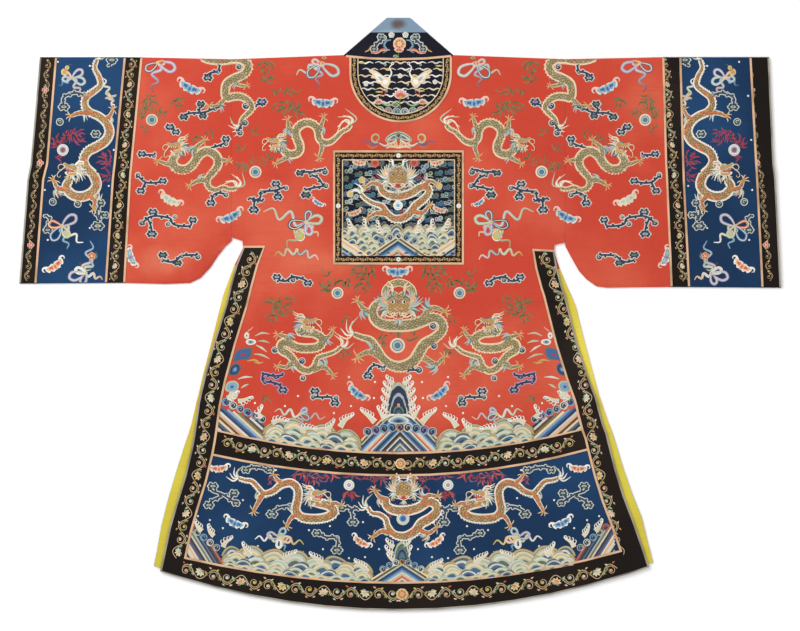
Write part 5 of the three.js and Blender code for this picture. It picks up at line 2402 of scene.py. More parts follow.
def embroider_upper(pen: Pen) -> None:
    """One side of the upper body: dragons, clouds, bats and pearls.

    Args:
        pen: draws on the chart, or mirrored for the right side.
    """
    for cloud in CHEST_CLOUDS:
        cloud.stitch(pen)
    scatter(pen, (
        (266, 67, 15, 14), (268, 79, 15, 8), (285, 92, 28, 7), (287, 107, 28, 13), (299, 112, 9, 9),
        (254, 131, 9, 7), (268, 157, 12, 6),
    ), FADED)
    CHEST_DRAGON.stitch(pen)
    pen.band(
        ((398.5, 133), (392, 135), (386, 140), (389, 143)), (3.6, 3.2, 1.2),
        (Silk.SAGE, Silk.TEAL, Silk.CREAM), 1
    )
    pen.band(((397, 140), (391, 144), (385, 146), (379, 143)), (2, 2.6, 1), (Silk.PALE, Silk.SAGE), 1)
    pen.band(((398.5, 147), (391, 146.5), (386, 148.5)), (3.4, 2.6, 0.8), (Silk.PEACH, Silk.CREAM), 2)
    pen.band(curl(376, 138, 4.8, 60, 1.1, 0.5), (2.2, 2, 1), (Silk.HONEY, Silk.SAGE), 1)
    pen.band(((380, 142), (373, 145), (368, 141), (362, 143)), (2, 2, 0.7), (Silk.PLUM, Silk.AZURE))
    pen.band(((378, 146), (372, 148), (367, 145)), (1.2, 2, 0.7), Silk.ORANGE, 1)
    pen.patch(((398.5, 139), (395, 136), (398.5, 130.5), (402, 136)), (Silk.LEAF, Silk.PALE), 2)
    pen.patch(((397, 134), (391, 136), (387, 141), (393, 140), (398, 138)), (Silk.TEAL, Silk.SAGE), lift=0.3)
    for x, turn in ((396.5, -22), (391.5, -50)):
        pen.at(x, 146, 0.9, turn).patch(
            ((0, 0.6), (2, -2.4), (0, -6.6), (-2, -2.4)), (Silk.CORAL, Silk.PEACH, Silk.CREAM), 1
        )
    Bat().stitch(pen.at(323, 103, 0.9, 4))
    Bat((Silk.TEAL, Silk.SKY, Silk.WHITE), Silk.TEAL).stitch(pen.at(318, 203, 0.5, 30))
    Pearl(6.2).stitch(pen.at(255.5, 172))
    bow = Ribbons(
        ((Silk.SLATE, -72, 12), (Silk.SAGE, -12, 17), (Silk.LILAC, 72, 14), (Silk.NAVY, 168, 18)),
        ((Silk.MIST, Silk.SAGE, 196, 46), (Silk.CORAL, Silk.PEACH, 48, 20), (Silk.SAGE, Silk.GOLD, 128, 34)),
    )
    bow.stitch(pen.at(306, 222, 0.95))
    Treasure.FAN.stitch(pen.at(299, 233, 0.95, 160))
    Ribbons(
        (), ((Silk.SAGE, Silk.HONEY, 168, 26), (Silk.TEAL, Silk.BLUSH, 22, 26))
    ).stitch(pen.at(297, 250, 0.9))
    top = Ribbons(
        ((Silk.MIST, 30, 22), (Silk.SLATE, 135, 20), (Silk.PINK, -160, 10)),
        ((Silk.MIST, Silk.SAGE, 158, 30), (Silk.LILAC, Silk.PLUM, 100, 28)),
    )
    top.stitch(pen.at(321, 64, 0.9))
    Treasure.LOTUS.stitch(pen.at(321, 62, 0.75, 180))


def embroider_sleeve(pen: Pen) -> None:
    """One red sleeve: a dragon, clouds, bats and a pearl.

    Args:
        pen: draws on the chart, or mirrored for the right side.
    """
    for cloud in SLEEVE_CLOUDS:
        cloud.stitch(pen)
    scatter(pen, (
        (150, 101, 16, 14), (143, 110, 9, 8), (162, 113, 9, 9), (177, 103, 13, 10), (145, 128, 9, 8),
        (240, 79, 12, 8), (240, 166, 10, 7),
        (240, 148, 8, 6), (198, 139, 12, 8), (210, 134, 10, 6),
    ), FADED)
    SHOULDER_DRAGON.stitch(pen)
    SLEEVE_DRAGON.stitch(pen)
    Bat().stitch(pen.at(190, 88, 0.92, 25))
    Bat((Silk.SAGE, Silk.PALE, Silk.CREAM), Silk.SAGE).stitch(pen.at(170, 200, 0.85, 28))
    Bat().stitch(pen.at(231, 217, 0.9, -25))
    Bat((Silk.SAGE, Silk.SKY, Silk.WHITE), Silk.CORAL).stitch(pen.at(131, 257, 0.75, 70))
    Pearl(6).stitch(pen.at(152, 120))
    Ribbons(
        ((Silk.PLUM, 150, 14), (Silk.LILAC, 20, 18)), ((Silk.LILAC, Silk.PLUM, 100, 30),)
    ).stitch(pen.at(158, 63))
    Treasure.LOTUS.stitch(pen.at(161, 61, 0.8, 170))


def embroider_centre(pen: Pen) -> None:
    """The large dragon on the red skirt, with its pearl, a bat and small pearls beside it.

    Args:
        pen: draws on the chart.
    """
    for half in pen.sides():
        scatter(
            half,
            ((363, 271, 26, 18), (363, 286, 18, 12), (344, 282, 18, 8), (326, 286, 12, 12), (326, 273, 9, 7)),
            FADED
        )
        Pearl(6).stitch(half.at(337.5, 293))
    for cloud in CENTRE_CLOUDS:
        cloud.stitch(pen)
    scatter(
        pen,
        ((383, 340, 10, 12), (413, 336, 10, 12), (398, 333, 14, 6), (345, 354, 12, 7), (449, 352, 12, 7)),
        FADED
    )
    CENTRE_DRAGON.stitch(pen)
    Pearl(7.6, Silk.OLIVE, ()).stitch(pen.at(397.5, 345.5))
    Bat().stitch(pen.at(397.5, 272, 0.92, 0))


def embroider_lower(pen: Pen) -> None:
    """One side of the red skirt: a dragon, clouds, and a bird on a rock among leaves.

    Args:
        pen: draws on the chart, or mirrored for the right side.
    """
    scatter(
        pen,
        (
            (275, 302, 16, 10), (282, 310, 20, 14), (272, 318, 12, 9), (290, 300, 10, 8), (266, 399, 8, 6),
            (346, 320, 8, 7)
        ),
        FADED
    )
    for cloud in LOWER_CLOUDS:
        cloud.stitch(pen)
    LOWER_DRAGON.stitch(pen)
    Bat().stitch(pen.at(357, 393, 0.85, 38))
    leaves = (
        ((255, 336), (262, 333), (270, 334)), ((256, 345), (262, 348), (267, 352)),
        ((254, 354), (262, 355), (270, 359)),
        ((247, 361), (255, 360), (261, 364)), ((258, 341), (264, 341), (270, 343)),
        ((238, 379), (245, 377), (253, 377)),
        ((241, 388), (246, 385), (249, 384)), ((254, 362), (259, 363), (264, 362)),
    )
    for i, leaf in enumerate(leaves):
        pen.band(leaf, (0.6, 2.2, 0.3), (Silk.SAGE, Silk.PALE, Silk.SAGE, Silk.HONEY)[i % 4], lift=0.3)
    rocks = (
        ((233, 362), (236, 352), (240, 349), (251, 348), (252, 354), (248, 359), (240, 360)),
        ((229, 375), (231, 366), (238, 363), (241, 368), (237, 375)),
        ((225, 389), (228, 382), (236, 381), (239, 386), (236, 391), (229, 392)),
    )
    shades = (
        (Silk.CRIMSON, Silk.AZURE, Silk.AZURE, Silk.SLATE), (Silk.SKY, Silk.AZURE, Silk.NAVY, Silk.SLATE),
        (Silk.AZURE, Silk.SKY, Silk.SKY, Silk.SAGE)
    )
    for rock, silks in zip(rocks, shades):
        pen.patch(rock, silks, lift=0.7)
    pen.patch(
        ((246, 341), (249, 339), (255, 340), (256, 343), (251, 345), (247, 344)),
        (Silk.SLATE, Silk.MIST, Silk.WHITE), 1
    )
    pen.patch(
        ((244, 336), (246, 332), (249, 333), (249, 338), (246, 339)), (Silk.CORAL, Silk.WHITE, Silk.PALE), 1
    )
    pen.band(((248, 331), (251, 329), (253, 327)), (0.8, 0.5), Silk.BLUSH)
    pen.patch(((228, 398), (230, 392), (235, 392), (238, 396), (233, 400)), (Silk.SAGE, Silk.PALE), lift=0.4)


CORNER = (
    Silk.LILAC, Silk.PALE, Silk.NAVY, Silk.SLATE, Silk.CREAM, Silk.UMBER, Silk.PEACH, Silk.PALE, Silk.NAVY,
    Silk.AZURE, Silk.SKY, Silk.CREAM,
    Silk.OLIVE, Silk.UMBER, Silk.PALE, Silk.NAVY, Silk.AZURE, Silk.MIST, Silk.CORAL, Silk.PEACH, Silk.CREAM,
    Silk.UMBER, Silk.NAVY, Silk.SLATE,
)


PEAK = (
    Silk.CREAM, Silk.UMBER, Silk.SAGE, Silk.NAVY, Silk.AZURE, Silk.SKY, Silk.PALE, Silk.PEACH, Silk.CORAL,
    Silk.PALE, Silk.TEAL, Silk.NAVY,
    Silk.AZURE, Silk.MIST, Silk.INK, Silk.UMBER, Silk.PALE, Silk.NAVY, Silk.SLATE, Silk.CREAM, Silk.TEAL,
    Silk.SKY,
)


def corner(
    pen: Pen, start: Point, rise: float, over: Point, slope: float, floor: Callable[[float], float],
    width: float = 2.3
) -> None:
    """Slanting stripes of standing water in a lower corner.

    Args:
        pen: draws on the chart.
        start: the corner itself.
        rise: how far the stripes start up the side.
        over: how far right and down the start line runs on from there.
        slope: how steeply the stripes fall.
        floor: gives the row where they end, at a column.
        width: of one stripe.
    """
    turn = math.atan(slope)
    side, top = rise * math.cos(turn), over[0] * math.sin(turn) - over[1] * math.cos(turn)
    count = round((side + top) / width)
    for k in range(count):
        way = (k + 0.5) / count * (side + top)
        left, right = min(way, side) / side, max(0.0, way - side) / top
        x, y = start[0] + right * over[0], start[1] - left * rise + right * over[1]
        steps = [(x + i, y + i * slope) for i in range(1, 60) if y + i * slope < floor(x + i) + 1]
        if len(steps) > 1:
            pen.band(
                [(x - 1.5, y - 1.5 * slope), steps[-1]], width + 0.1,
                CORNER[k * (1 if width > 2 else 5) % len(CORNER)], lift=0.1
            )


def peaks(pen: Pen, middle: float, top: float, foot: float, half: float, count: int) -> None:
    """Stripes of standing water that meet in a peak.

    Args:
        pen: draws on the chart.
        middle: the column of the peak.
        top: row of the outermost stripe's peak.
        foot: row where they end.
        half: half the width at the foot.
        count: how many stripes.
    """
    step = (foot - top) / count
    width = step * math.cos(math.atan2(foot - top, half)) + 0.15
    for k in range(count):
        wide = half * (1 - k / count)
        path = [(middle - wide, foot), (middle, top + k * step), (middle + wide, foot)]
        pen.band(path, width, PEAK[k % len(PEAK)], smooth=False, lift=0.1)


def embroider_sea(pen: Pen) -> None:
    """The waves, stripes and mountain along the foot of the red skirt.

    Args:
        pen: draws on the chart.
    """
    for half in pen.sides():
        corner(half, (218, 433), 26, (42, 15), 0.9, RED_FOOT.row)
        for k in range(6):
            x, y = 226 + k * 7.2, 402 + k * 3.4
            roller(
                half.over(2), x, y, 4.1, 1.3,
                (Silk.SKY, Silk.PALE, Silk.MIST, Silk.SKY, Silk.LILAC, Silk.MIST)[k]
            )
        floor = [(x, RED_FOOT.row(x)) for x in (262, 285, 310, 335, 362)]
        Sea(floor, ((40, 18, 9), (34, 13, 6), (30, 10, 3), (24, 7, 0)), 7).stitch(half.over())
        for path, side, width in (
            (((262, 418), (259, 413), (262, 408)), 1, 4.5), (((238, 401), (244, 400), (250, 397)), -1, 4),
            (((227, 398), (232, 396), (236, 392)), -1, 4), (((325, 430), (330, 427), (334, 422)), 1, 5),
            (((340, 427), (345, 420), (352, 416)), 1, 5.5), (((375, 422), (369, 416), (362, 411)), -1, 5.5),
            (((384, 418), (381, 413), (378, 409)), -1, 4.5), (((272, 423), (279, 420), (286, 421)), 1, 4.5),
            (((300, 430), (307, 428), (314, 429)), 1, 4.5),
        ):
            Crest(path, side, width).stitch(half.over(3))
        spurs(half.over(2), ((387, 412), (386, 404), (387, 396), (388.5, 389), (391, 383)), 4.2)
        spray = (
            (298, 396), (255, 403), (334, 413), (349, 377), (375, 382), (374, 398), (351, 406), (285, 406)
        )
        dots(half, spray, 1.1)
        bow = Ribbons(
            ((Silk.LILAC, -40, 10), (Silk.TEAL, 30, 12)),
            ((Silk.PALE, Silk.SAGE, 188, 30), (Silk.CORAL, Silk.LILAC, 82, 20), (Silk.TEAL, Silk.PINK, 8, 30))
        )
        bow.stitch(half.at(300, 414, 0.85).over(2))
    peaks(pen.over(), 400, 401, 451, 49, 22)
    for k in range(9):
        x = 400 + (k - 4) * 8.1
        y = 427 + abs(k - 4) ** 1.6 * 0.5
        silk = (
            Silk.MIST, Silk.LILAC, Silk.SKY, Silk.SKY, Silk.HONEY, Silk.PALE, Silk.SKY, Silk.LILAC, Silk.MIST
        )[k]
        roller(pen.over(3), x, y, 4.7, 1.3 if k < 5 else -1.3, silk)
    for half in pen.sides():
        half.over(4).band(
            ((399, 414), (392, 414.5), (386, 417), (382, 421)), (3, 3.4, 2.6, 1),
            (Silk.PALE, Silk.WHITE, Silk.CREAM)
        )
    peak = pen.at(398.5, 414).over(3)
    swell = ((388, 421.5), (391, 417.5), (398.5, 415.5), (406, 417.5), (409, 421.5), (398.5, 424))
    pen.over(4).patch(swell, (Silk.NAVY, Silk.SLATE, Silk.SKY, Silk.PALE), centre=(398.5, 421.5))
    rings = (
        Silk.NAVY, Silk.NAVY, Silk.PEACH, Silk.NAVY, Silk.NAVY, Silk.MIST, Silk.NAVY, Silk.NAVY, Silk.SAGE
    )
    mountain(peak, 24, 32, rings)
    rings = (Silk.NAVY, Silk.AZURE, Silk.NAVY, Silk.LEAF, Silk.NAVY, Silk.NAVY, Silk.PALE)
    mountain(peak.over(), 19, 15, rings)


CUFF_DRAGON = Dragon(
    Head(Spot(77, 171, 1.0, 8)),
    ((70, 179), (66, 187), (72, 195), (82, 197), (92, 193), (97, 185), (94, 175), (87, 168), (84, 160),
     (88, 152), (97, 147), (106, 141), (110, 132), (107, 123), (99, 116), (90, 112), (85, 105), (87, 97),
     (95, 91), (101, 85), (99, 76), (95, 68), (97, 60)),
    (7, 9, 9.5, 9.5, 9.5, 9, 9, 9.5, 9.5, 9, 8, 7.5, 7, 6, 5, 4, 3),
    (
        Leg(((91, 113), (80, 113), (72, 116)), 195, 0.95),
        Leg(((104, 120), (110, 116), (113, 110)), -70, 0.8),
        Leg(((68, 190), (58, 188), (54, 181)), -105, 0.95, -1),
        Leg(((88, 195), (95, 201), (94, 208)), 105, 0.9, -1),
    ),
    ON_BLUE,
    fins=1,
    tail=-80,
    plume=14,
    hook=-0.5,
)
SKIRT_DRAGON = Dragon(
    Head(Spot(312, 496, 1.0, 0, True)),
    ((310, 501), (318, 503), (329, 506), (334, 512), (326, 517), (313, 518.5), (301, 516.5), (296, 509),
     (298, 499), (298, 489), (291, 482.5), (281, 484.5), (273, 491), (264, 493), (258, 487), (252, 481),
     (245, 480), (239, 478)),
    (8, 9.5, 9.5, 9, 9, 8.5, 8, 8, 7.5, 6, 5, 4, 3),
    (
        Leg(((264, 492), (259, 501), (254, 510)), 110, 0.9),
        Leg(((301, 513), (292, 517), (287, 525)), 110, 0.9, -1),
        Leg(((284, 485), (278, 480), (274, 475)), -120, 0.8),
        Leg(((328, 506), (335, 503), (340, 505)), 10, 0.85),
    ),
    ON_BLUE,
    fins=1,
    tail=-130,
    plume=12,
    hook=0.5,
)
HEM_DRAGON = Dragon(
    Head(Spot(403.5, 490, 0.8), Facing.FRONT),
    ((386, 498), (386, 505), (393, 510), (405, 511), (418, 508), (428, 502), (435, 504), (437, 511),
     (430, 518), (421, 523), (415, 531), (405, 536), (394, 534), (388, 526), (386, 519), (379, 514),
     (372, 513), (368, 507)),
    (7, 9, 10, 9.5, 9, 9.5, 10, 9.5, 9, 7, 5, 4, 3),
    (
        Leg(((388, 500), (380, 497), (375, 491)), -120, 0.9, -1),
        Leg(((421, 506), (427, 496), (436, 496)), 10, 0.95),
        Leg(((393, 533), (382, 531), (374, 536)), 160, 0.95, -1),
        Leg(((418, 529), (428, 533), (436, 528)), -40, 0.9),
    ),
    ON_BLUE,
    tail=-130,
    plume=13,
    hook=0.5,
    loops=(((392, 481), (397, 476), (404, 474.5), (411, 476.5), (415, 481)),),
)
BADGE_DRAGON = Dragon(
    Head(Spot(398, 177, 0.95), Facing.FRONT),
    ((380, 184), (382, 191), (389, 195.5), (400, 196.5), (412, 193), (420, 187.5), (427, 187),
     (428.5, 193), (423, 199.5), (415, 206), (410, 213), (403, 218), (394, 218.5), (387, 213), (382, 206),
     (374, 203.5), (366, 199), (361, 194)),
    (6, 7, 8, 8, 7.5, 7, 7.5, 8, 8, 7, 5, 4, 3),
    (
        Leg(((387, 214), (377, 213), (368, 218)), 160, 0.9, -1),
        Leg(((412, 211), (422, 213), (429, 206)), -50, 0.9),
        Leg(((382, 186), (373, 183), (366, 187)), 200, 0.8),
        Leg(((422, 188), (430, 181), (436, 184)), 20, 0.8),
    ),
    ON_BLUE,
    tail=-110,
    plume=13,
    hook=-0.5,
)
BLUE_CLOUD = {"inner": Silk.INDIGO, "outer": Silk.PALE, "heart": Silk.SAGE}
CUFF_CLOUDS = (
    Cloud(
        (((84, 95), (76, 93), (68, 95), (63, 99), (64, 105)),), ((64, 107, 4.8),),
        ((84, 95, 2), (70, 94, 1.6)), **BLUE_CLOUD
    ),
    Cloud((((94, 135), (97, 133)),), ((96, 134, 4),), **BLUE_CLOUD),
    Cloud((((112, 60), (110, 66)),), ((112, 60, 4.8),), **BLUE_CLOUD),
    Cloud((
        ((101, 204), (97, 212), (99, 220)), ((99, 216), (104, 213))
    ), ((98, 226, 5.6), (105, 215, 3.5), (101, 203, 3.5)),
          ((53, 202, 3), (78, 204, 3), (60, 122, 3)), **BLUE_CLOUD),
    Cloud((((46, 215), (50, 220), (47, 227)),), ((48, 230, 4),), **BLUE_CLOUD),
)
SKIRT_CLOUDS = (
    Cloud((((247, 468), (256, 467), (266, 469)),), ((246, 470, 3.6), (270, 470, 4)), **BLUE_CLOUD),
    Cloud((
        ((211, 488), (213, 491), (222, 494), (230, 499), (235, 502)), ((222, 496), (213, 500), (208, 505)),
        ((230, 499), (234, 494))
    ),
          ((213, 486, 4.5), (234, 493, 4), (236, 503, 3.4), (209, 505, 4.5)), **BLUE_CLOUD),
    Cloud((((290, 506), (281, 507), (273, 511)),), ((272, 514, 5),), ((289, 506, 2),), **BLUE_CLOUD),
    Cloud(
        (((318, 533), (326, 537), (337, 538), (337, 548)),), ((317, 533, 4.2), (337, 550, 5)),
        ((337, 538, 2),), **BLUE_CLOUD
    ),
    Cloud(
        (((342, 508), (350, 508), (352, 514), (353, 520)), ((352, 509), (358, 508))),
        ((353, 522, 4.8), (342, 508, 3.2)), **BLUE_CLOUD
    ),
)
BLOSSOMS = (
    Flower((Silk.CORAL, Silk.PEACH, Silk.CREAM)),
    Flower((Silk.HONEY, Silk.YELLOW, Silk.CREAM), Silk.CORAL),
    Flower((Silk.PEACH, Silk.BLUSH, Silk.CREAM)),
    Flower((Silk.SAGE, Silk.PALE, Silk.CREAM), Silk.YELLOW),
)
SUN_BLOOM = Flower((Silk.ORANGE, Silk.HONEY, Silk.CREAM), Silk.CORAL, 7)
RED_BAT = Bat((Silk.CORAL, Silk.PEACH, Silk.WHITE), Silk.CORAL, Silk.WHITE)
RED_FLAME = (Silk.MAGENTA, Silk.CRIMSON, Silk.MAGENTA)
SIDE_LINE = (
    (253, 253), (245.5, 275), (237.5, 300), (229.5, 322), (222.7, 342), (218, 361), (213.5, 380), (210, 400),
    (207, 420), (204, 440),
    (200.7, 460), (196, 480), (190.2, 500), (185.2, 520), (180.6, 540), (176.5, 558),
)


def embroider_cuff(pen: Pen) -> None:
    """One blue cuff: a dragon over the waves, with treasures.

    Args:
        pen: draws on the chart, or mirrored for the right side.
    """
    scatter(
        pen,
        (
            (58, 141, 11, 11), (74, 135, 20, 13), (60, 158, 10, 6), (106, 160, 12, 18), (107, 176, 9, 12),
            (79, 140, 10, 8)
        ),
        RED_FLAME
    )
    for cloud in CUFF_CLOUDS:
        cloud.stitch(pen)
    CUFF_DRAGON.stitch(pen)
    Pearl(
        5.8, Silk.CRIMSON, (-150, -80), (Silk.PLUM, Silk.LILAC, Silk.WHITE, Silk.SAGE, Silk.WHITE)
    ).stitch(pen.at(63, 150))
    RED_BAT.stitch(pen.at(55, 266, 0.8, -35))
    top = Ribbons(
        ((Silk.LILAC, -35, 15), (Silk.MIST, 20, 16), (Silk.SKY, 170, 11), (Silk.PEACH, 215, 10)),
        ((Silk.MIST, Silk.PINK, 62, 26), (Silk.LILAC, Silk.AZURE, 150, 18)),
    )
    top.stitch(pen.at(72, 78, 0.85))
    Treasure.GOURD.stitch(pen.at(66, 70, 0.75, 30))
    Treasure.SCROLLS.stitch(pen.at(111, 97, 0.6, 20))
    Ribbons(
        (), ((Silk.SAGE, Silk.WHITE, 250, 24), (Silk.PINK, Silk.WHITE, 70, 16))
    ).stitch(pen.at(110, 96, 0.8))
    low = Ribbons(
        ((Silk.LILAC, -35, 19), (Silk.ORANGE, 190, 15), (Silk.AZURE, 125, 19), (Silk.SAGE, 60, 14)),
        ((Silk.YELLOW, Silk.WHITE, 40, 30), (Silk.TEAL, Silk.SKY, 75, 26)),
    )
    low.stitch(pen.at(62, 226, 0.9))
    Treasure.FAN.stitch(pen.at(66, 232, 0.6, 150))
    side = Ribbons(
        ((Silk.LILAC, 165, 19), (Silk.LILAC, 110, 13), (Silk.WHITE, 200, 12)),
        ((Silk.SAGE, Silk.SLATE, -62, 26), (Silk.WHITE, Silk.PEACH, 20, 20), (Silk.LILAC, Silk.SKY, -80, 36)),
    )
    side.stitch(pen.at(86, 273, 0.9))
    wisps(pen, 86, 266, 12, 8, (Silk.HONEY, Silk.SAGE, Silk.UMBER))
    Flower((Silk.CORAL, Silk.ORANGE, Silk.PEACH)).stitch(pen.at(92, 256, 0.8).over())
    dots(
        pen,
        ((49, 96), (90, 228), (58, 62), (45, 190), (90, 66), (114, 150), (48, 240), (109, 186), (46, 140))
    )


def embroider_skirt_side(pen: Pen) -> None:
    """One side of the blue skirt: a dragon, clouds, bats and treasures over the waves.

    Args:
        pen: draws on the chart, or mirrored for the right side.
    """
    scatter(
        pen,
        (
            (301, 475, 20, 8), (314, 479, 20, 12), (328, 478, 12, 8), (272, 481, 8, 8), (350, 495, 17, 8),
            (336, 474, 12, 5)
        ),
        (Silk.MAGENTA, Silk.CRIMSON, Silk.CORAL, Silk.PLUM)
    )
    for cloud in SKIRT_CLOUDS:
        cloud.stitch(pen)
    SKIRT_DRAGON.stitch(pen)
    Pearl(
        5.4, Silk.CRIMSON, (70, 110), (Silk.LILAC, Silk.WHITE, Silk.SAGE, Silk.WHITE, Silk.PALE)
    ).stitch(pen.at(349, 485))
    RED_BAT.stitch(pen.at(219, 468.5, 0.72, -4))
    Bat((Silk.AZURE, Silk.SKY, Silk.WHITE), Silk.AZURE, Silk.WHITE).stitch(pen.at(235, 523, 0.8, 24))
    RED_BAT.stitch(pen.at(361, 542, 0.72, 32))
    bow = Ribbons(
        ((Silk.SKY, -60, 14), (Silk.PEACH, 10, 15), (Silk.WHITE, 90, 12), (Silk.LILAC, 200, 15)),
        ((Silk.SAGE, Silk.WHITE, 180, 30), (Silk.PEACH, Silk.YELLOW, 12, 32), (Silk.SKY, Silk.TEAL, 60, 20)),
    )
    bow.stitch(pen.at(279, 538, 0.8))
    Treasure.FAN.stitch(pen.at(279, 536, 0.7, 100))
    spray = (
        (198, 516), (210, 520), (223, 528), (232, 538), (258, 546), (303, 552), (323, 549), (379, 549),
        (349, 558), (365, 557), (243, 500),
        (309, 530), (280, 498), (210, 508), (330, 526), (363, 522), (276, 470),
    )
    dots(pen, spray)


def embroider_skirt_middle(pen: Pen) -> None:
    """The middle of the blue skirt: a facing dragon between flames.

    Args:
        pen: draws on the chart.
    """
    for half in pen.sides():
        flames = (
            (368, 478, 18, 6), (380, 480, 16, 9), (351, 477, 14, 4), (372, 488, 10, 6), (391, 514, 8, 8)
        )
        scatter(half, flames, (Silk.MAGENTA, Silk.PLUM, Silk.CRIMSON))
    HEM_DRAGON.stitch(pen)
    Pearl(
        6.4, Silk.CRIMSON, (-120, -60), (Silk.AZURE, Silk.SKY, Silk.WHITE, Silk.SAGE, Silk.WHITE)
    ).stitch(pen.at(403, 518.5))


def embroider_skirt_sea(pen: Pen) -> None:
    """The waves, stripes and rock along the foot of the blue skirt.

    Args:
        pen: draws on the chart.
    """
    for half in pen.sides():
        corner(half, (184, 560), 36, (30, 24), 1.6, BLUE_FOOT.row, 1.7)
        for k in range(5):
            roller(
                half.over(2), 191 + k * 6.4, 527 + k * 5.1, 3.7, 1.3,
                (Silk.ORANGE, Silk.SAGE, Silk.SKY, Silk.PALE, Silk.MIST)[k]
            )
        Sea(
            [(x, BLUE_FOOT.row(x)) for x in (221, 260, 300, 340, 374)],
            ((38, 16, 9), (34, 12, 6), (28, 9, 3), (24, 6, 0)), 9
        ).stitch(half.over())
        for path, side, width in (
            (((251, 556), (247, 551), (243, 545)), -1, 5), (((322, 564), (317, 559), (311, 555)), -1, 5),
            (((368, 572), (362, 566), (356, 562)), -1, 5), (((202, 531), (198, 527), (195, 522)), -1, 4.5),
            (((214, 536), (210, 532), (208, 527)), -1, 4), (((283, 560), (289, 556), (295, 553)), 1, 4.5),
            (((223, 547), (226, 542), (231, 539)), 1, 4.5),
        ):
            Crest(path, side, width).stitch(half.over(3))
        spurs(half.over(2), ((392, 560), (390, 553), (391, 546)), 4)
    peaks(pen.over(4), 402, 560, 583, 36, 11)
    for k in range(7):
        roller(
            pen.over(5), 402 + (k - 3) * 6.4, 561 + abs(k - 3) ** 1.5 * 1.5, 3.4, 1.3 if k < 4 else -1.3,
            (Silk.MIST, Silk.SKY, Silk.PALE, Silk.HONEY)[k % 4]
        )
    mountain(
        pen.at(402, 560).over(3), 16, 19,
        (Silk.NAVY, Silk.TEAL, Silk.SLATE, Silk.NAVY, Silk.TEAL, Silk.MOSS, Silk.SAGE)
    )


def embroider_side_border(pen: Pen) -> None:
    """A flowering vine along one side border."""
    Vine(SIDE_LINE, 5.2, 26, BLOSSOMS, 0.66).stitch(pen)


def embroider_cross_borders(pen: Pen) -> None:
    """Flowering vines along the middle and the hem borders.

    Args:
        pen: draws on the chart.
    """
    for half in pen.sides():
        Vine(
            [(x, MID_LINE.row(x)) for x in (396, 360, 320, 280, 250, 222)], 5.0, 26, BLOSSOMS, 0.68
        ).stitch(half)
        Vine(
            [(x, HEM_LINE.row(x)) for x in (400, 360, 320, 280, 240, 205, 180)], 5.8, 28, BLOSSOMS[::-1],
            0.74
        ).stitch(half)
    SUN_BLOOM.stitch(pen.at(400.5, 463.5, 1.05).over())
    SUN_BLOOM.stitch(pen.at(402, 594, 1.15).over())


def embroider_cuff_borders(pen: Pen) -> None:
    """The scrolls on the two black borders of a cuff.

    Args:
        pen: draws on the chart, or mirrored for the right side.
    """
    Vine(
        ((132.3, 59), (129, 100), (125, 150), (120.3, 200), (117, 240), (114.5, 281)), 4.0, 21, BLOSSOMS,
        0.47
    ).stitch(pen)
    outer = ((48.2, 60), (45.2, 100), (41, 150), (35.8, 180), (34, 200), (30.5, 240), (27.3, 281))
    Vine(outer, 3.2, 21, (), 0.35, leaves=(Silk.STRAW,)).stitch(pen)
    for x, y in ((45.5, 90), (40.5, 163), (31, 245)):
        Flower((Silk.CRIMSON, Silk.CORAL, Silk.BLUSH), Silk.CORAL, 4).stitch(pen.at(x, y, 0.7).over(2))


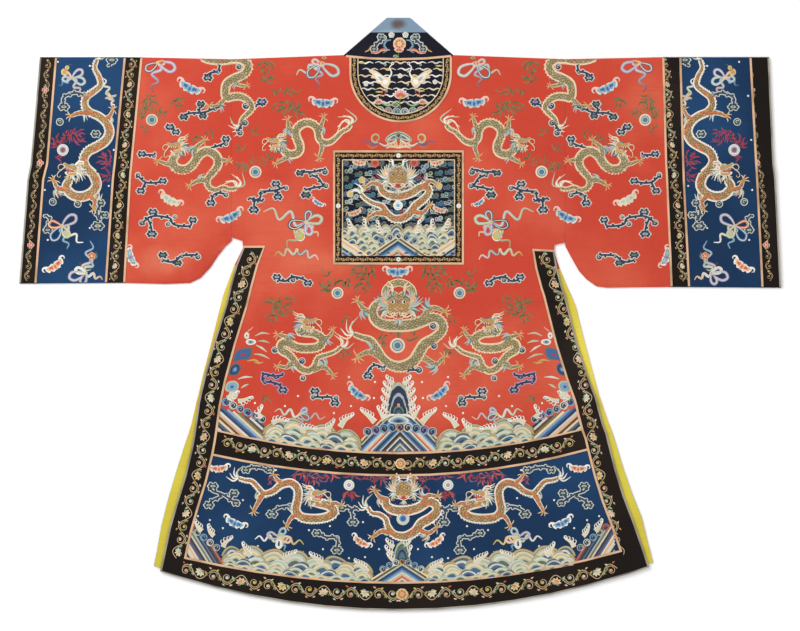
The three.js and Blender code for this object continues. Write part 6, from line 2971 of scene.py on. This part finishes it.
def embroider_badge(pen: Pen) -> None:
    """The square badge: a facing dragon among clouds over standing water.

    Args:
        pen: draws on the chart.
    """
    puffs = (Silk.SLATE, Silk.TEAL, Silk.MIST, Silk.SLATE, Silk.SAGE, Silk.MOSS, Silk.AZURE)
    for row in range(9):
        for column in range(13):
            x = 345 + column * 8.9 + row % 2 * 4 + row * column % 3
            y = 163 + row * 7.6 + column * 7 % 4
            silk = puffs[(row * 5 + column * 3) % 7]
            edge = (Silk.SLATE, Silk.MIST, Silk.MOSS, Silk.TEAL)[(row + column) % 4]
            for dx, dy, size in ((-2.5, 0.8, 1.9), (1.5, 0, 2.5)):
                pen.disc(x + dx, y + dy, size, (Silk.INK, silk, edge), cuts=(0, 0.4, 0.74, 1), lift=0.2)
            pen.band(curl(x + 1.6, y, 1.5, 160, 1.2, 0.1), (0.6, 0.4), edge, 1, lift=0.1)
            pen.band([(x - 4.5, y + 3.4), (x, y + 2.6), (x + 4.5, y + 3.8)], (0.3, 0.9, 0.3), silk, lift=0.15)
    for x, y in ((375, 163), (414, 163)):
        pen.disc(x, y, 4.4, (Silk.CRIMSON, Silk.CORAL), 1, lift=0.3)
    for x, y, turn in ((359, 163, 10), (355, 213, -20), (437, 163, -10), (439, 210, 20)):
        Bat(
            (Silk.CORAL, Silk.PEACH, Silk.PALE), Silk.CRIMSON, Silk.PEACH
        ).stitch(pen.at(x, y, 0.55, turn).over(2))
    for x, y in ((350, 194), (439, 186), (362, 180), (448, 224)):
        Flower((Silk.HONEY, Silk.YELLOW, Silk.CREAM), Silk.CORAL).stitch(pen.at(x, y, 0.7).over(2))
    for half in pen.sides():
        for x, y, turn in ((384, 224, 160), (418, 180, 30), (370, 190, -60)):
            Flame(RED_FLAME).stitch(half.at(x, y, 0.8, turn).over())
    BADGE_DRAGON.stitch(pen.over(1))
    Pearl(
        4.8, Silk.CRIMSON, (-120, 60), (Silk.SKY, Silk.WHITE, Silk.MIST, Silk.WHITE, Silk.WHITE)
    ).stitch(pen.at(398, 205.5).over(2))
    Sea(
        ((338, 254), (398, 254), (459, 254)),
        ((18, 11, 18), (17, 9, 14), (16, 8, 10), (16, 7, 5), (15, 6, 0)), 4
    ).stitch(pen.over())
    for half in pen.sides():
        for path in (
            ((356, 231), (352, 226), (350, 221)), ((384, 233), (380, 228), (379, 223)),
            ((370, 231), (366, 227), (366, 222))
        ):
            Crest(path, 1, 3.0).stitch(half.over(5))
    for half in pen.sides():
        corner(half.over(7), (342, 256), 18, (0.1, 0), 0.66, lambda column: 255.6, 1.8)
    peaks(pen.over(7), 398, 236, 256.4, 30, 10)
    for k in range(5):
        roller(
            pen.over(8), 398 + (k - 2) * 8.4, 236 + abs(k - 2) ** 1.5 * 1.6, 3.4, 1.3 if k < 3 else -1.3,
            (Silk.SKY, Silk.MIST, Silk.PALE)[k % 3]
        )
    inner = ((342.6, 160), (454.4, 160), (454.4, 255.2), (342.6, 255.2), (342.6, 160))
    pen.band(inner, 0.9, Silk.CREAM, 4, smooth=False)


def embroider_badge_border(pen: Pen) -> None:
    """The thin scroll round the badge.

    Args:
        pen: draws on the chart.
    """
    style = {"sway": 1.8, "period": 9.6, "size": 0.3, "stem": Silk.HONEY, "leaves": (Silk.STRAW,)}
    for path in (
        ((336, 155.6), (398, 155.6), (461, 155.6)), ((336, 259.4), (398, 259.4), (461, 259.4)),
        ((338.3, 158), (338.3, 207), (338.3, 257)), ((458.7, 158), (458.7, 207), (458.7, 257)),
    ):
        Vine(path, **style).stitch(pen)
    for x, y in ((398.5, 155.6), (398.5, 259.4), (338.3, 206), (458.7, 206)):
        pen.disc(x, y, 2.5, (Silk.CORAL, Silk.WHITE, Silk.MIST), 2, cuts=(0, 0.25, 0.8, 1), lift=0.5)


def embroider_bib(pen: Pen) -> None:
    """The rounded panel: two cranes over a lotus pond, between streaks of cloud.

    Args:
        pen: draws on the chart.
    """
    for row in range(7):
        y = 63 + row * 6.6
        wide = 42 - max(0, row - 3) * 3
        for k in range(5):
            x = 400.6 + (k - 2) * wide * 0.42 + (row % 2) * 5
            path = [(x - 8, y), (x - 4, y - 1.2), (x, y + 0.6), (x + 4, y - 1), (x + 8, y + 0.4)]
            pen.band(path, (0.5, 1.7, 0.5), (Silk.WHITE, Silk.PALE, Silk.CREAM)[(k + row) % 3], lift=0.25)
            if (k + row) % 2:
                pen.band(curl(x + 2, y + 2, 1.6, 200, 1.2, 0.1), (0.8, 0.5), Silk.PALE, lift=0.2)
    for x, y in ((362, 63), (439, 66), (421, 91), (379, 92), (388, 69), (413, 76)):
        pen.band([(x - 3.4, y), (x + 3.4, y)], (0.8, 1.8, 0.8), Silk.YELLOW, 1)
    for half in (pen.at(400.6, 0), pen.at(400.6, 0, mirror=True)):
        wing = [
            (-14, 80), (-20, 74), (-27, 70), (-32, 71), (-28, 75), (-30, 78), (-25, 79), (-24, 83), (-17, 84)
        ]
        half.patch(wing, (Silk.MIST, Silk.WHITE, Silk.CREAM), 1, centre=(-18, 80), lift=0.7)
        half.patch(
            [(-10, 80), (-14, 77), (-20, 80), (-19, 86), (-13, 87)], (Silk.WHITE, Silk.CREAM), 2, lift=0.8
        )
        half.band([(-12, 79), (-9, 73), (-11, 68), (-8, 64)], (2, 1.5, 1.2, 1), Silk.WHITE, 2)
        half.disc(-8, 63.5, 1.6, (Silk.CORAL, Silk.WHITE), 3, cuts=(0, 0.5, 1))
        half.band([(-7, 63.5), (-3.6, 65)], (0.8, 0.3), Silk.INK, 3)
        for x in (-17, -14):
            half.band([(x, 86), (x - 1, 92), (x - 3, 97)], 0.6, Silk.CORAL, 1)
        half.band([(-30, 108), (-22, 102), (-12, 106), (-3, 101)], (1, 2.4, 1), (Silk.LEAF, Silk.SAGE), 1)
        Treasure.LOTUS.stitch(half.at(-22, 104, 0.75).over())
    Treasure.LOTUS.stitch(pen.at(400.6, 98, 1.25).over(2))
    for k in range(8):
        x = 400.6 + (k - 3.5) * 8.2
        y = 112 - abs(k - 3.5) ** 1.6 * 0.35
        roller(
            pen.over(), x, y, 4.2, 1.3 if k < 4 else -1.3,
            (Silk.PALE, Silk.SAGE, Silk.PINK, Silk.MIST)[k % 4], Silk.SLATE
        )
    for x, y, silk in (
        (366, 84, Silk.PINK), (435, 82, Silk.PINK), (400, 76, Silk.SAGE), (386, 86, Silk.SAGE),
        (416, 86, Silk.SKY)
    ):
        Flower((silk, Silk.PALE, Silk.WHITE)).stitch(pen.at(x, y, 0.5).over())


def embroider_bib_border(pen: Pen) -> None:
    """The thin scroll round the bib, and the line inside it.

    Args:
        pen: draws on the chart.
    """
    turns = np.radians(np.linspace(180, 0, 13))
    for half, deep, width in ((46.4, 44.4, 0.0), (42.6, 40.6, 0.9)):
        path = [(400.6 - half, 58)] + [
            (400.6 + half * math.cos(t), 73.5 + deep * math.sin(t)) for t in turns
        ] + [(400.6 + half, 58)]
        if width:
            pen.band(path, width, Silk.CREAM, 2)
        else:
            Vine(path, 1.7, 9.6, (), 0.3, Silk.HONEY, (Silk.STRAW,)).stitch(pen)


def embroider_collar(pen: Pen) -> None:
    """Flowers and ribbons on the back of the collar.

    Args:
        pen: draws on the chart.
    """
    for half in pen.sides():
        Cloud(
            (((374, 49), (378, 43), (384, 38)),), ((374, 49, 3), (381, 37, 3)), ((384, 38, 2),), **BLUE_CLOUD
        ).stitch(half)
        Flower((Silk.SKY, Silk.PALE, Silk.WHITE)).stitch(half.at(391.5, 35, 0.62).over())
        half.band(
            [(391, 40), (386, 41), (384, 46), (387, 50), (383, 53)], (1, 2.4, 2, 0.8), (Silk.TEAL, Silk.SKY),
            1
        )
        half.band([(390, 50), (382, 50), (377, 53), (371, 53)], (1, 2.8, 2, 0.8), (Silk.CORAL, Silk.PEACH), 1)
        half.band([(365, 52), (369, 50), (371, 46)], (0.8, 1.6, 0.6), Silk.HONEY)
    Flower((Silk.CORAL, Silk.PEACH, Silk.CREAM), Silk.YELLOW, 8).stitch(pen.at(399.5, 44, 1.3).over(2))
    Treasure.LOTUS.stitch(pen.at(399, 52, 0.8).over())


FINE = 0.012  # longest edge on borders, in metres
CORD = 0.03  # longest edge on pipings and bindings
BADGE_EDGES = ("top", "bottom", "left", "right")


@dataclass
class Body(Assembly):
    """The two halves of the body, each one length from the hem in front over the shoulder to the back."""

    cuts = (SewnPiece("body_*", "red", folds=2),)

    def dress(self) -> None:
        """Embroiders the upper body and the red skirt."""
        self.embroider("upper_embroidery_*", (195, 50, 400, 300), embroider_upper, "body_*")
        self.embroider("lower_embroidery_*", (205, 280, 380, 420), embroider_lower, "body_*")
        self.embroider("centre_embroidery", (325, 255, 472, 400), embroider_centre, "body_*")
        self.embroider("wave_embroidery", (205, 370, 592, 456), embroider_sea, "body_*")


@dataclass
class Sleeves(Assembly):
    """The red sleeve lengths between body and cuffs."""

    cuts = (SewnPiece("sleeve_*", "red", folds=2),)

    def dress(self) -> None:
        """Embroiders both sleeves."""
        self.embroider("sleeve_embroidery_*", (120, 50, 270, 290), embroider_sleeve, "sleeve_*", "body_*")


@dataclass
class Cuffs(Assembly):
    """The three lengths of each cuff and their pipings."""

    cuts = (
        SewnPiece(
            "cuff_inner_border_*", "black", FINE, folds=2, trims=("cuff_piping_red_*", "cuff_piping_inner_*")
        ),
        SewnPiece("cuff_band_*", "blue", folds=2),
        SewnPiece(
            "cuff_outer_border_*", "black", FINE, folds=2, trims=("cuff_piping_outer_*", "cuff_edge_*")
        ),
        SewnPiece("cuff_piping_red_*", "cream", CORD),
        SewnPiece("cuff_piping_inner_*", "cream", CORD),
        SewnPiece("cuff_piping_outer_*", "cream", CORD),
        SewnPiece("cuff_edge_*", "grey", CORD),
    )

    def dress(self) -> None:
        """Embroiders both cuffs."""
        self.embroider("cuff_embroidery_*", (30, 50, 130, 290), embroider_cuff, "cuff_band_*")
        self.embroider(
            "cuff_scroll_*", (15, 50, 145, 290), embroider_cuff_borders, "cuff_inner_border_*",
            "cuff_outer_border_*"
        )


@dataclass
class Skirt(Assembly):
    """The blue lengths below the middle border, and the yellow lining that shows at the sides."""

    cuts = (
        SewnPiece("back_skirt", "blue"),
        SewnPiece("front_skirt_*", "blue"),
        SewnPiece("front_lining_*", "yellow", FINE, strip=0.07),
    )

    def dress(self) -> None:
        """Embroiders the blue skirt."""
        self.embroider("skirt_embroidery_*", (180, 455, 400, 590), embroider_skirt_side, "back_skirt")
        self.embroider("hem_embroidery", (330, 465, 475, 560), embroider_skirt_middle, "back_skirt")
        self.embroider("hem_wave_embroidery", (180, 510, 617, 590), embroider_skirt_sea, "back_skirt")


@dataclass
class Borders(Assembly):
    """The black borders round the lower body, with their pipings and bindings."""

    cuts = (
        SewnPiece("side_border_*", "black", FINE, strip=0.048, trims=("side_edge_*", "side_piping_*")),
        SewnPiece("mid_border", "black", FINE, strip=0.048, trims=("mid_piping_upper", "mid_piping_lower")),
        SewnPiece("hem_border", "black", FINE, strip=0.06, trims=("hem_piping", "hem_edge")),
        SewnPiece("side_edge_*", "grey", CORD),
        SewnPiece("side_piping_*", "cream", CORD),
        SewnPiece("mid_piping_upper", "cream", CORD),
        SewnPiece("mid_piping_lower", "cream", CORD),
        SewnPiece("hem_piping", "cream", CORD),
        SewnPiece("hem_edge", "grey", CORD),
    )

    def dress(self) -> None:
        """Embroiders the vines."""
        self.embroider("side_vine_*", (160, 245, 270, 580), embroider_side_border, "side_border_*")
        self.embroider(
            "cross_vines", (160, 430, 640, 620), embroider_cross_borders, "mid_border", "hem_border"
        )


@dataclass
class Neck(Assembly):
    """The collar behind the neck, and the neckband that runs down the front opening."""

    cuts = (
        SewnPiece("neckband_*", "navy", 0.02, strip=0.089),
        SewnPiece("collar_back", "navy", 0.01, trims=("neck_piping",)),
        SewnPiece("collar_edge", "pale", 0.01),
        SewnPiece("neck_piping", "cream", CORD),
    )

    def dress(self) -> None:
        """Embroiders the collar."""
        self.embroider("collar_embroidery", (350, 10, 450, 60), embroider_collar, "collar_*")


@dataclass
class Bib(Assembly):
    """The rounded panel below the neck."""

    cuts = (
        SewnPiece("bib_panel", "navy", 0.008),
        SewnPiece("bib_border", "black", 0.008, strip=0.013, trims=("bib_piping",)),
        SewnPiece("bib_piping", "cream", 0.008),
    )

    def dress(self) -> None:
        """Embroiders the bib."""
        self.embroider("bib_embroidery", (345, 50, 456, 130), embroider_bib, "bib_panel")
        self.embroider("bib_scroll", (345, 50, 456, 130), embroider_bib_border, "bib_border", "bib_panel")


@dataclass
class Badge(Assembly):
    """The square panel on the back."""

    cuts = (
        SewnPiece("badge_panel", "navy", FINE),
        *(
            SewnPiece(f"badge_border_{edge}", "black", FINE, strip=0.015, trims=(f"badge_piping_{edge}",))
            for edge in BADGE_EDGES
        ),
        *(SewnPiece(f"badge_piping_{edge}", "cream", CORD) for edge in BADGE_EDGES),
    )

    def dress(self) -> None:
        """Embroiders the badge."""
        self.embroider("badge_embroidery", (335, 150, 462, 262), embroider_badge, "badge_panel")
        self.embroider("badge_scroll", (330, 148, 466, 266), embroider_badge_border, "badge_border_*")


GARMENT = (Body, Sleeves, Cuffs, Skirt, Borders, Neck, Bib, Badge)


@dataclass(frozen=True)
class Studio:
    """The table that the robe lies on, the light and the camera.

    Attributes:
        aim: chart point in the middle of the picture.
        distance: from the camera to the robe, in metres.
        lens: focal length in millimetres.
    """

    aim: Point = (400.0, 315.5)
    distance: float = 10.667
    lens: float = 200.0

    def build(self, chart: Chart) -> None:
        """Makes the camera, lights and table.

        Args:
            chart: the cutting chart, for the aim.
        """
        x, y = chart.metres(np.array([self.aim]))[0]
        data = bpy.data.cameras.new("Camera")
        data.lens = self.lens
        data.sensor_width = 36.0
        camera = bpy.data.objects.new("Camera", data)
        camera.location = (x, y, self.distance)
        bpy.context.scene.collection.objects.link(camera)
        bpy.context.scene.camera = camera
        self._light("Window", (-2.6, 2.4, 3.4), (x, y, 0.0), 3.2, 150.0)
        self._light("Lamp", (2.8, -1.2, 4.2), (x, y, 0.0), 3.0, 30.0)
        world = bpy.data.worlds.new("Room")
        world.use_nodes = True
        world.node_tree.nodes["Background"].inputs["Color"].default_value = (1.0, 0.99, 0.98, 1.0)
        world.node_tree.nodes["Background"].inputs["Strength"].default_value = 0.72
        bpy.context.scene.world = world
        bpy.context.scene.view_settings.view_transform = "Standard"
        self._table(x, y)

    def _light(
        self, name: str, place: Sequence[float], at: Sequence[float], size: float, power: float
    ) -> None:
        """Adds a soft light that points at the robe."""
        data = bpy.data.lights.new(name, "AREA")
        data.shape = "SQUARE"
        data.size = size
        data.energy = power
        light = bpy.data.objects.new(name, data)
        light.location = place
        light.rotation_euler = (Vector(at) - Vector(place)).to_track_quat("-Z", "Y").to_euler()
        bpy.context.scene.collection.objects.link(light)

    def _table(self, x: float, y: float) -> None:
        """Adds the white surface beneath."""
        bm = bmesh.new()
        bmesh.ops.create_grid(bm, x_segments=1, y_segments=1, size=8.0)
        for vertex in bm.verts:
            vertex.co += Vector((x, y, -0.0004))
        mesh = bpy.data.meshes.new("table")
        bm.to_mesh(mesh)
        bm.free()
        shader = Shader("White table")
        shader.set(Base_Color=linear("FCFCFC"), Roughness=0.9)
        mesh.materials.append(shader.material)
        table = bpy.data.objects.new("table", mesh)
        bpy.context.scene.collection.objects.link(table)


def read_chart() -> Chart:
    """Finds the chart's place from the square panel, which lies 229 mm below the neck points."""
    left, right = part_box("badge_piping_left"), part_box("badge_piping_right")
    return Chart((left[0][0] + right[1][0]) / 2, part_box("badge_piping_top")[1][1] + 0.229)


def main() -> None:
    """Builds the robe piece by piece, embroiders it and lays it on the table."""
    logging.basicConfig(level=logging.INFO, format="%(message)s")
    shop = Workshop(read_chart())
    groups = [group(shop) for group in GARMENT]
    for group in groups:
        group.build()
        LOG.info("%s laid", type(group).__name__)
    shop.cloth = Cloth(shop.pieces)
    for group in groups:
        group.dress()
        LOG.info("%s embroidered", type(group).__name__)
    Blank.clear()
    for group in groups:
        group.declare()
    Studio().build(shop.chart)


if __name__ == "__main__":
    main()
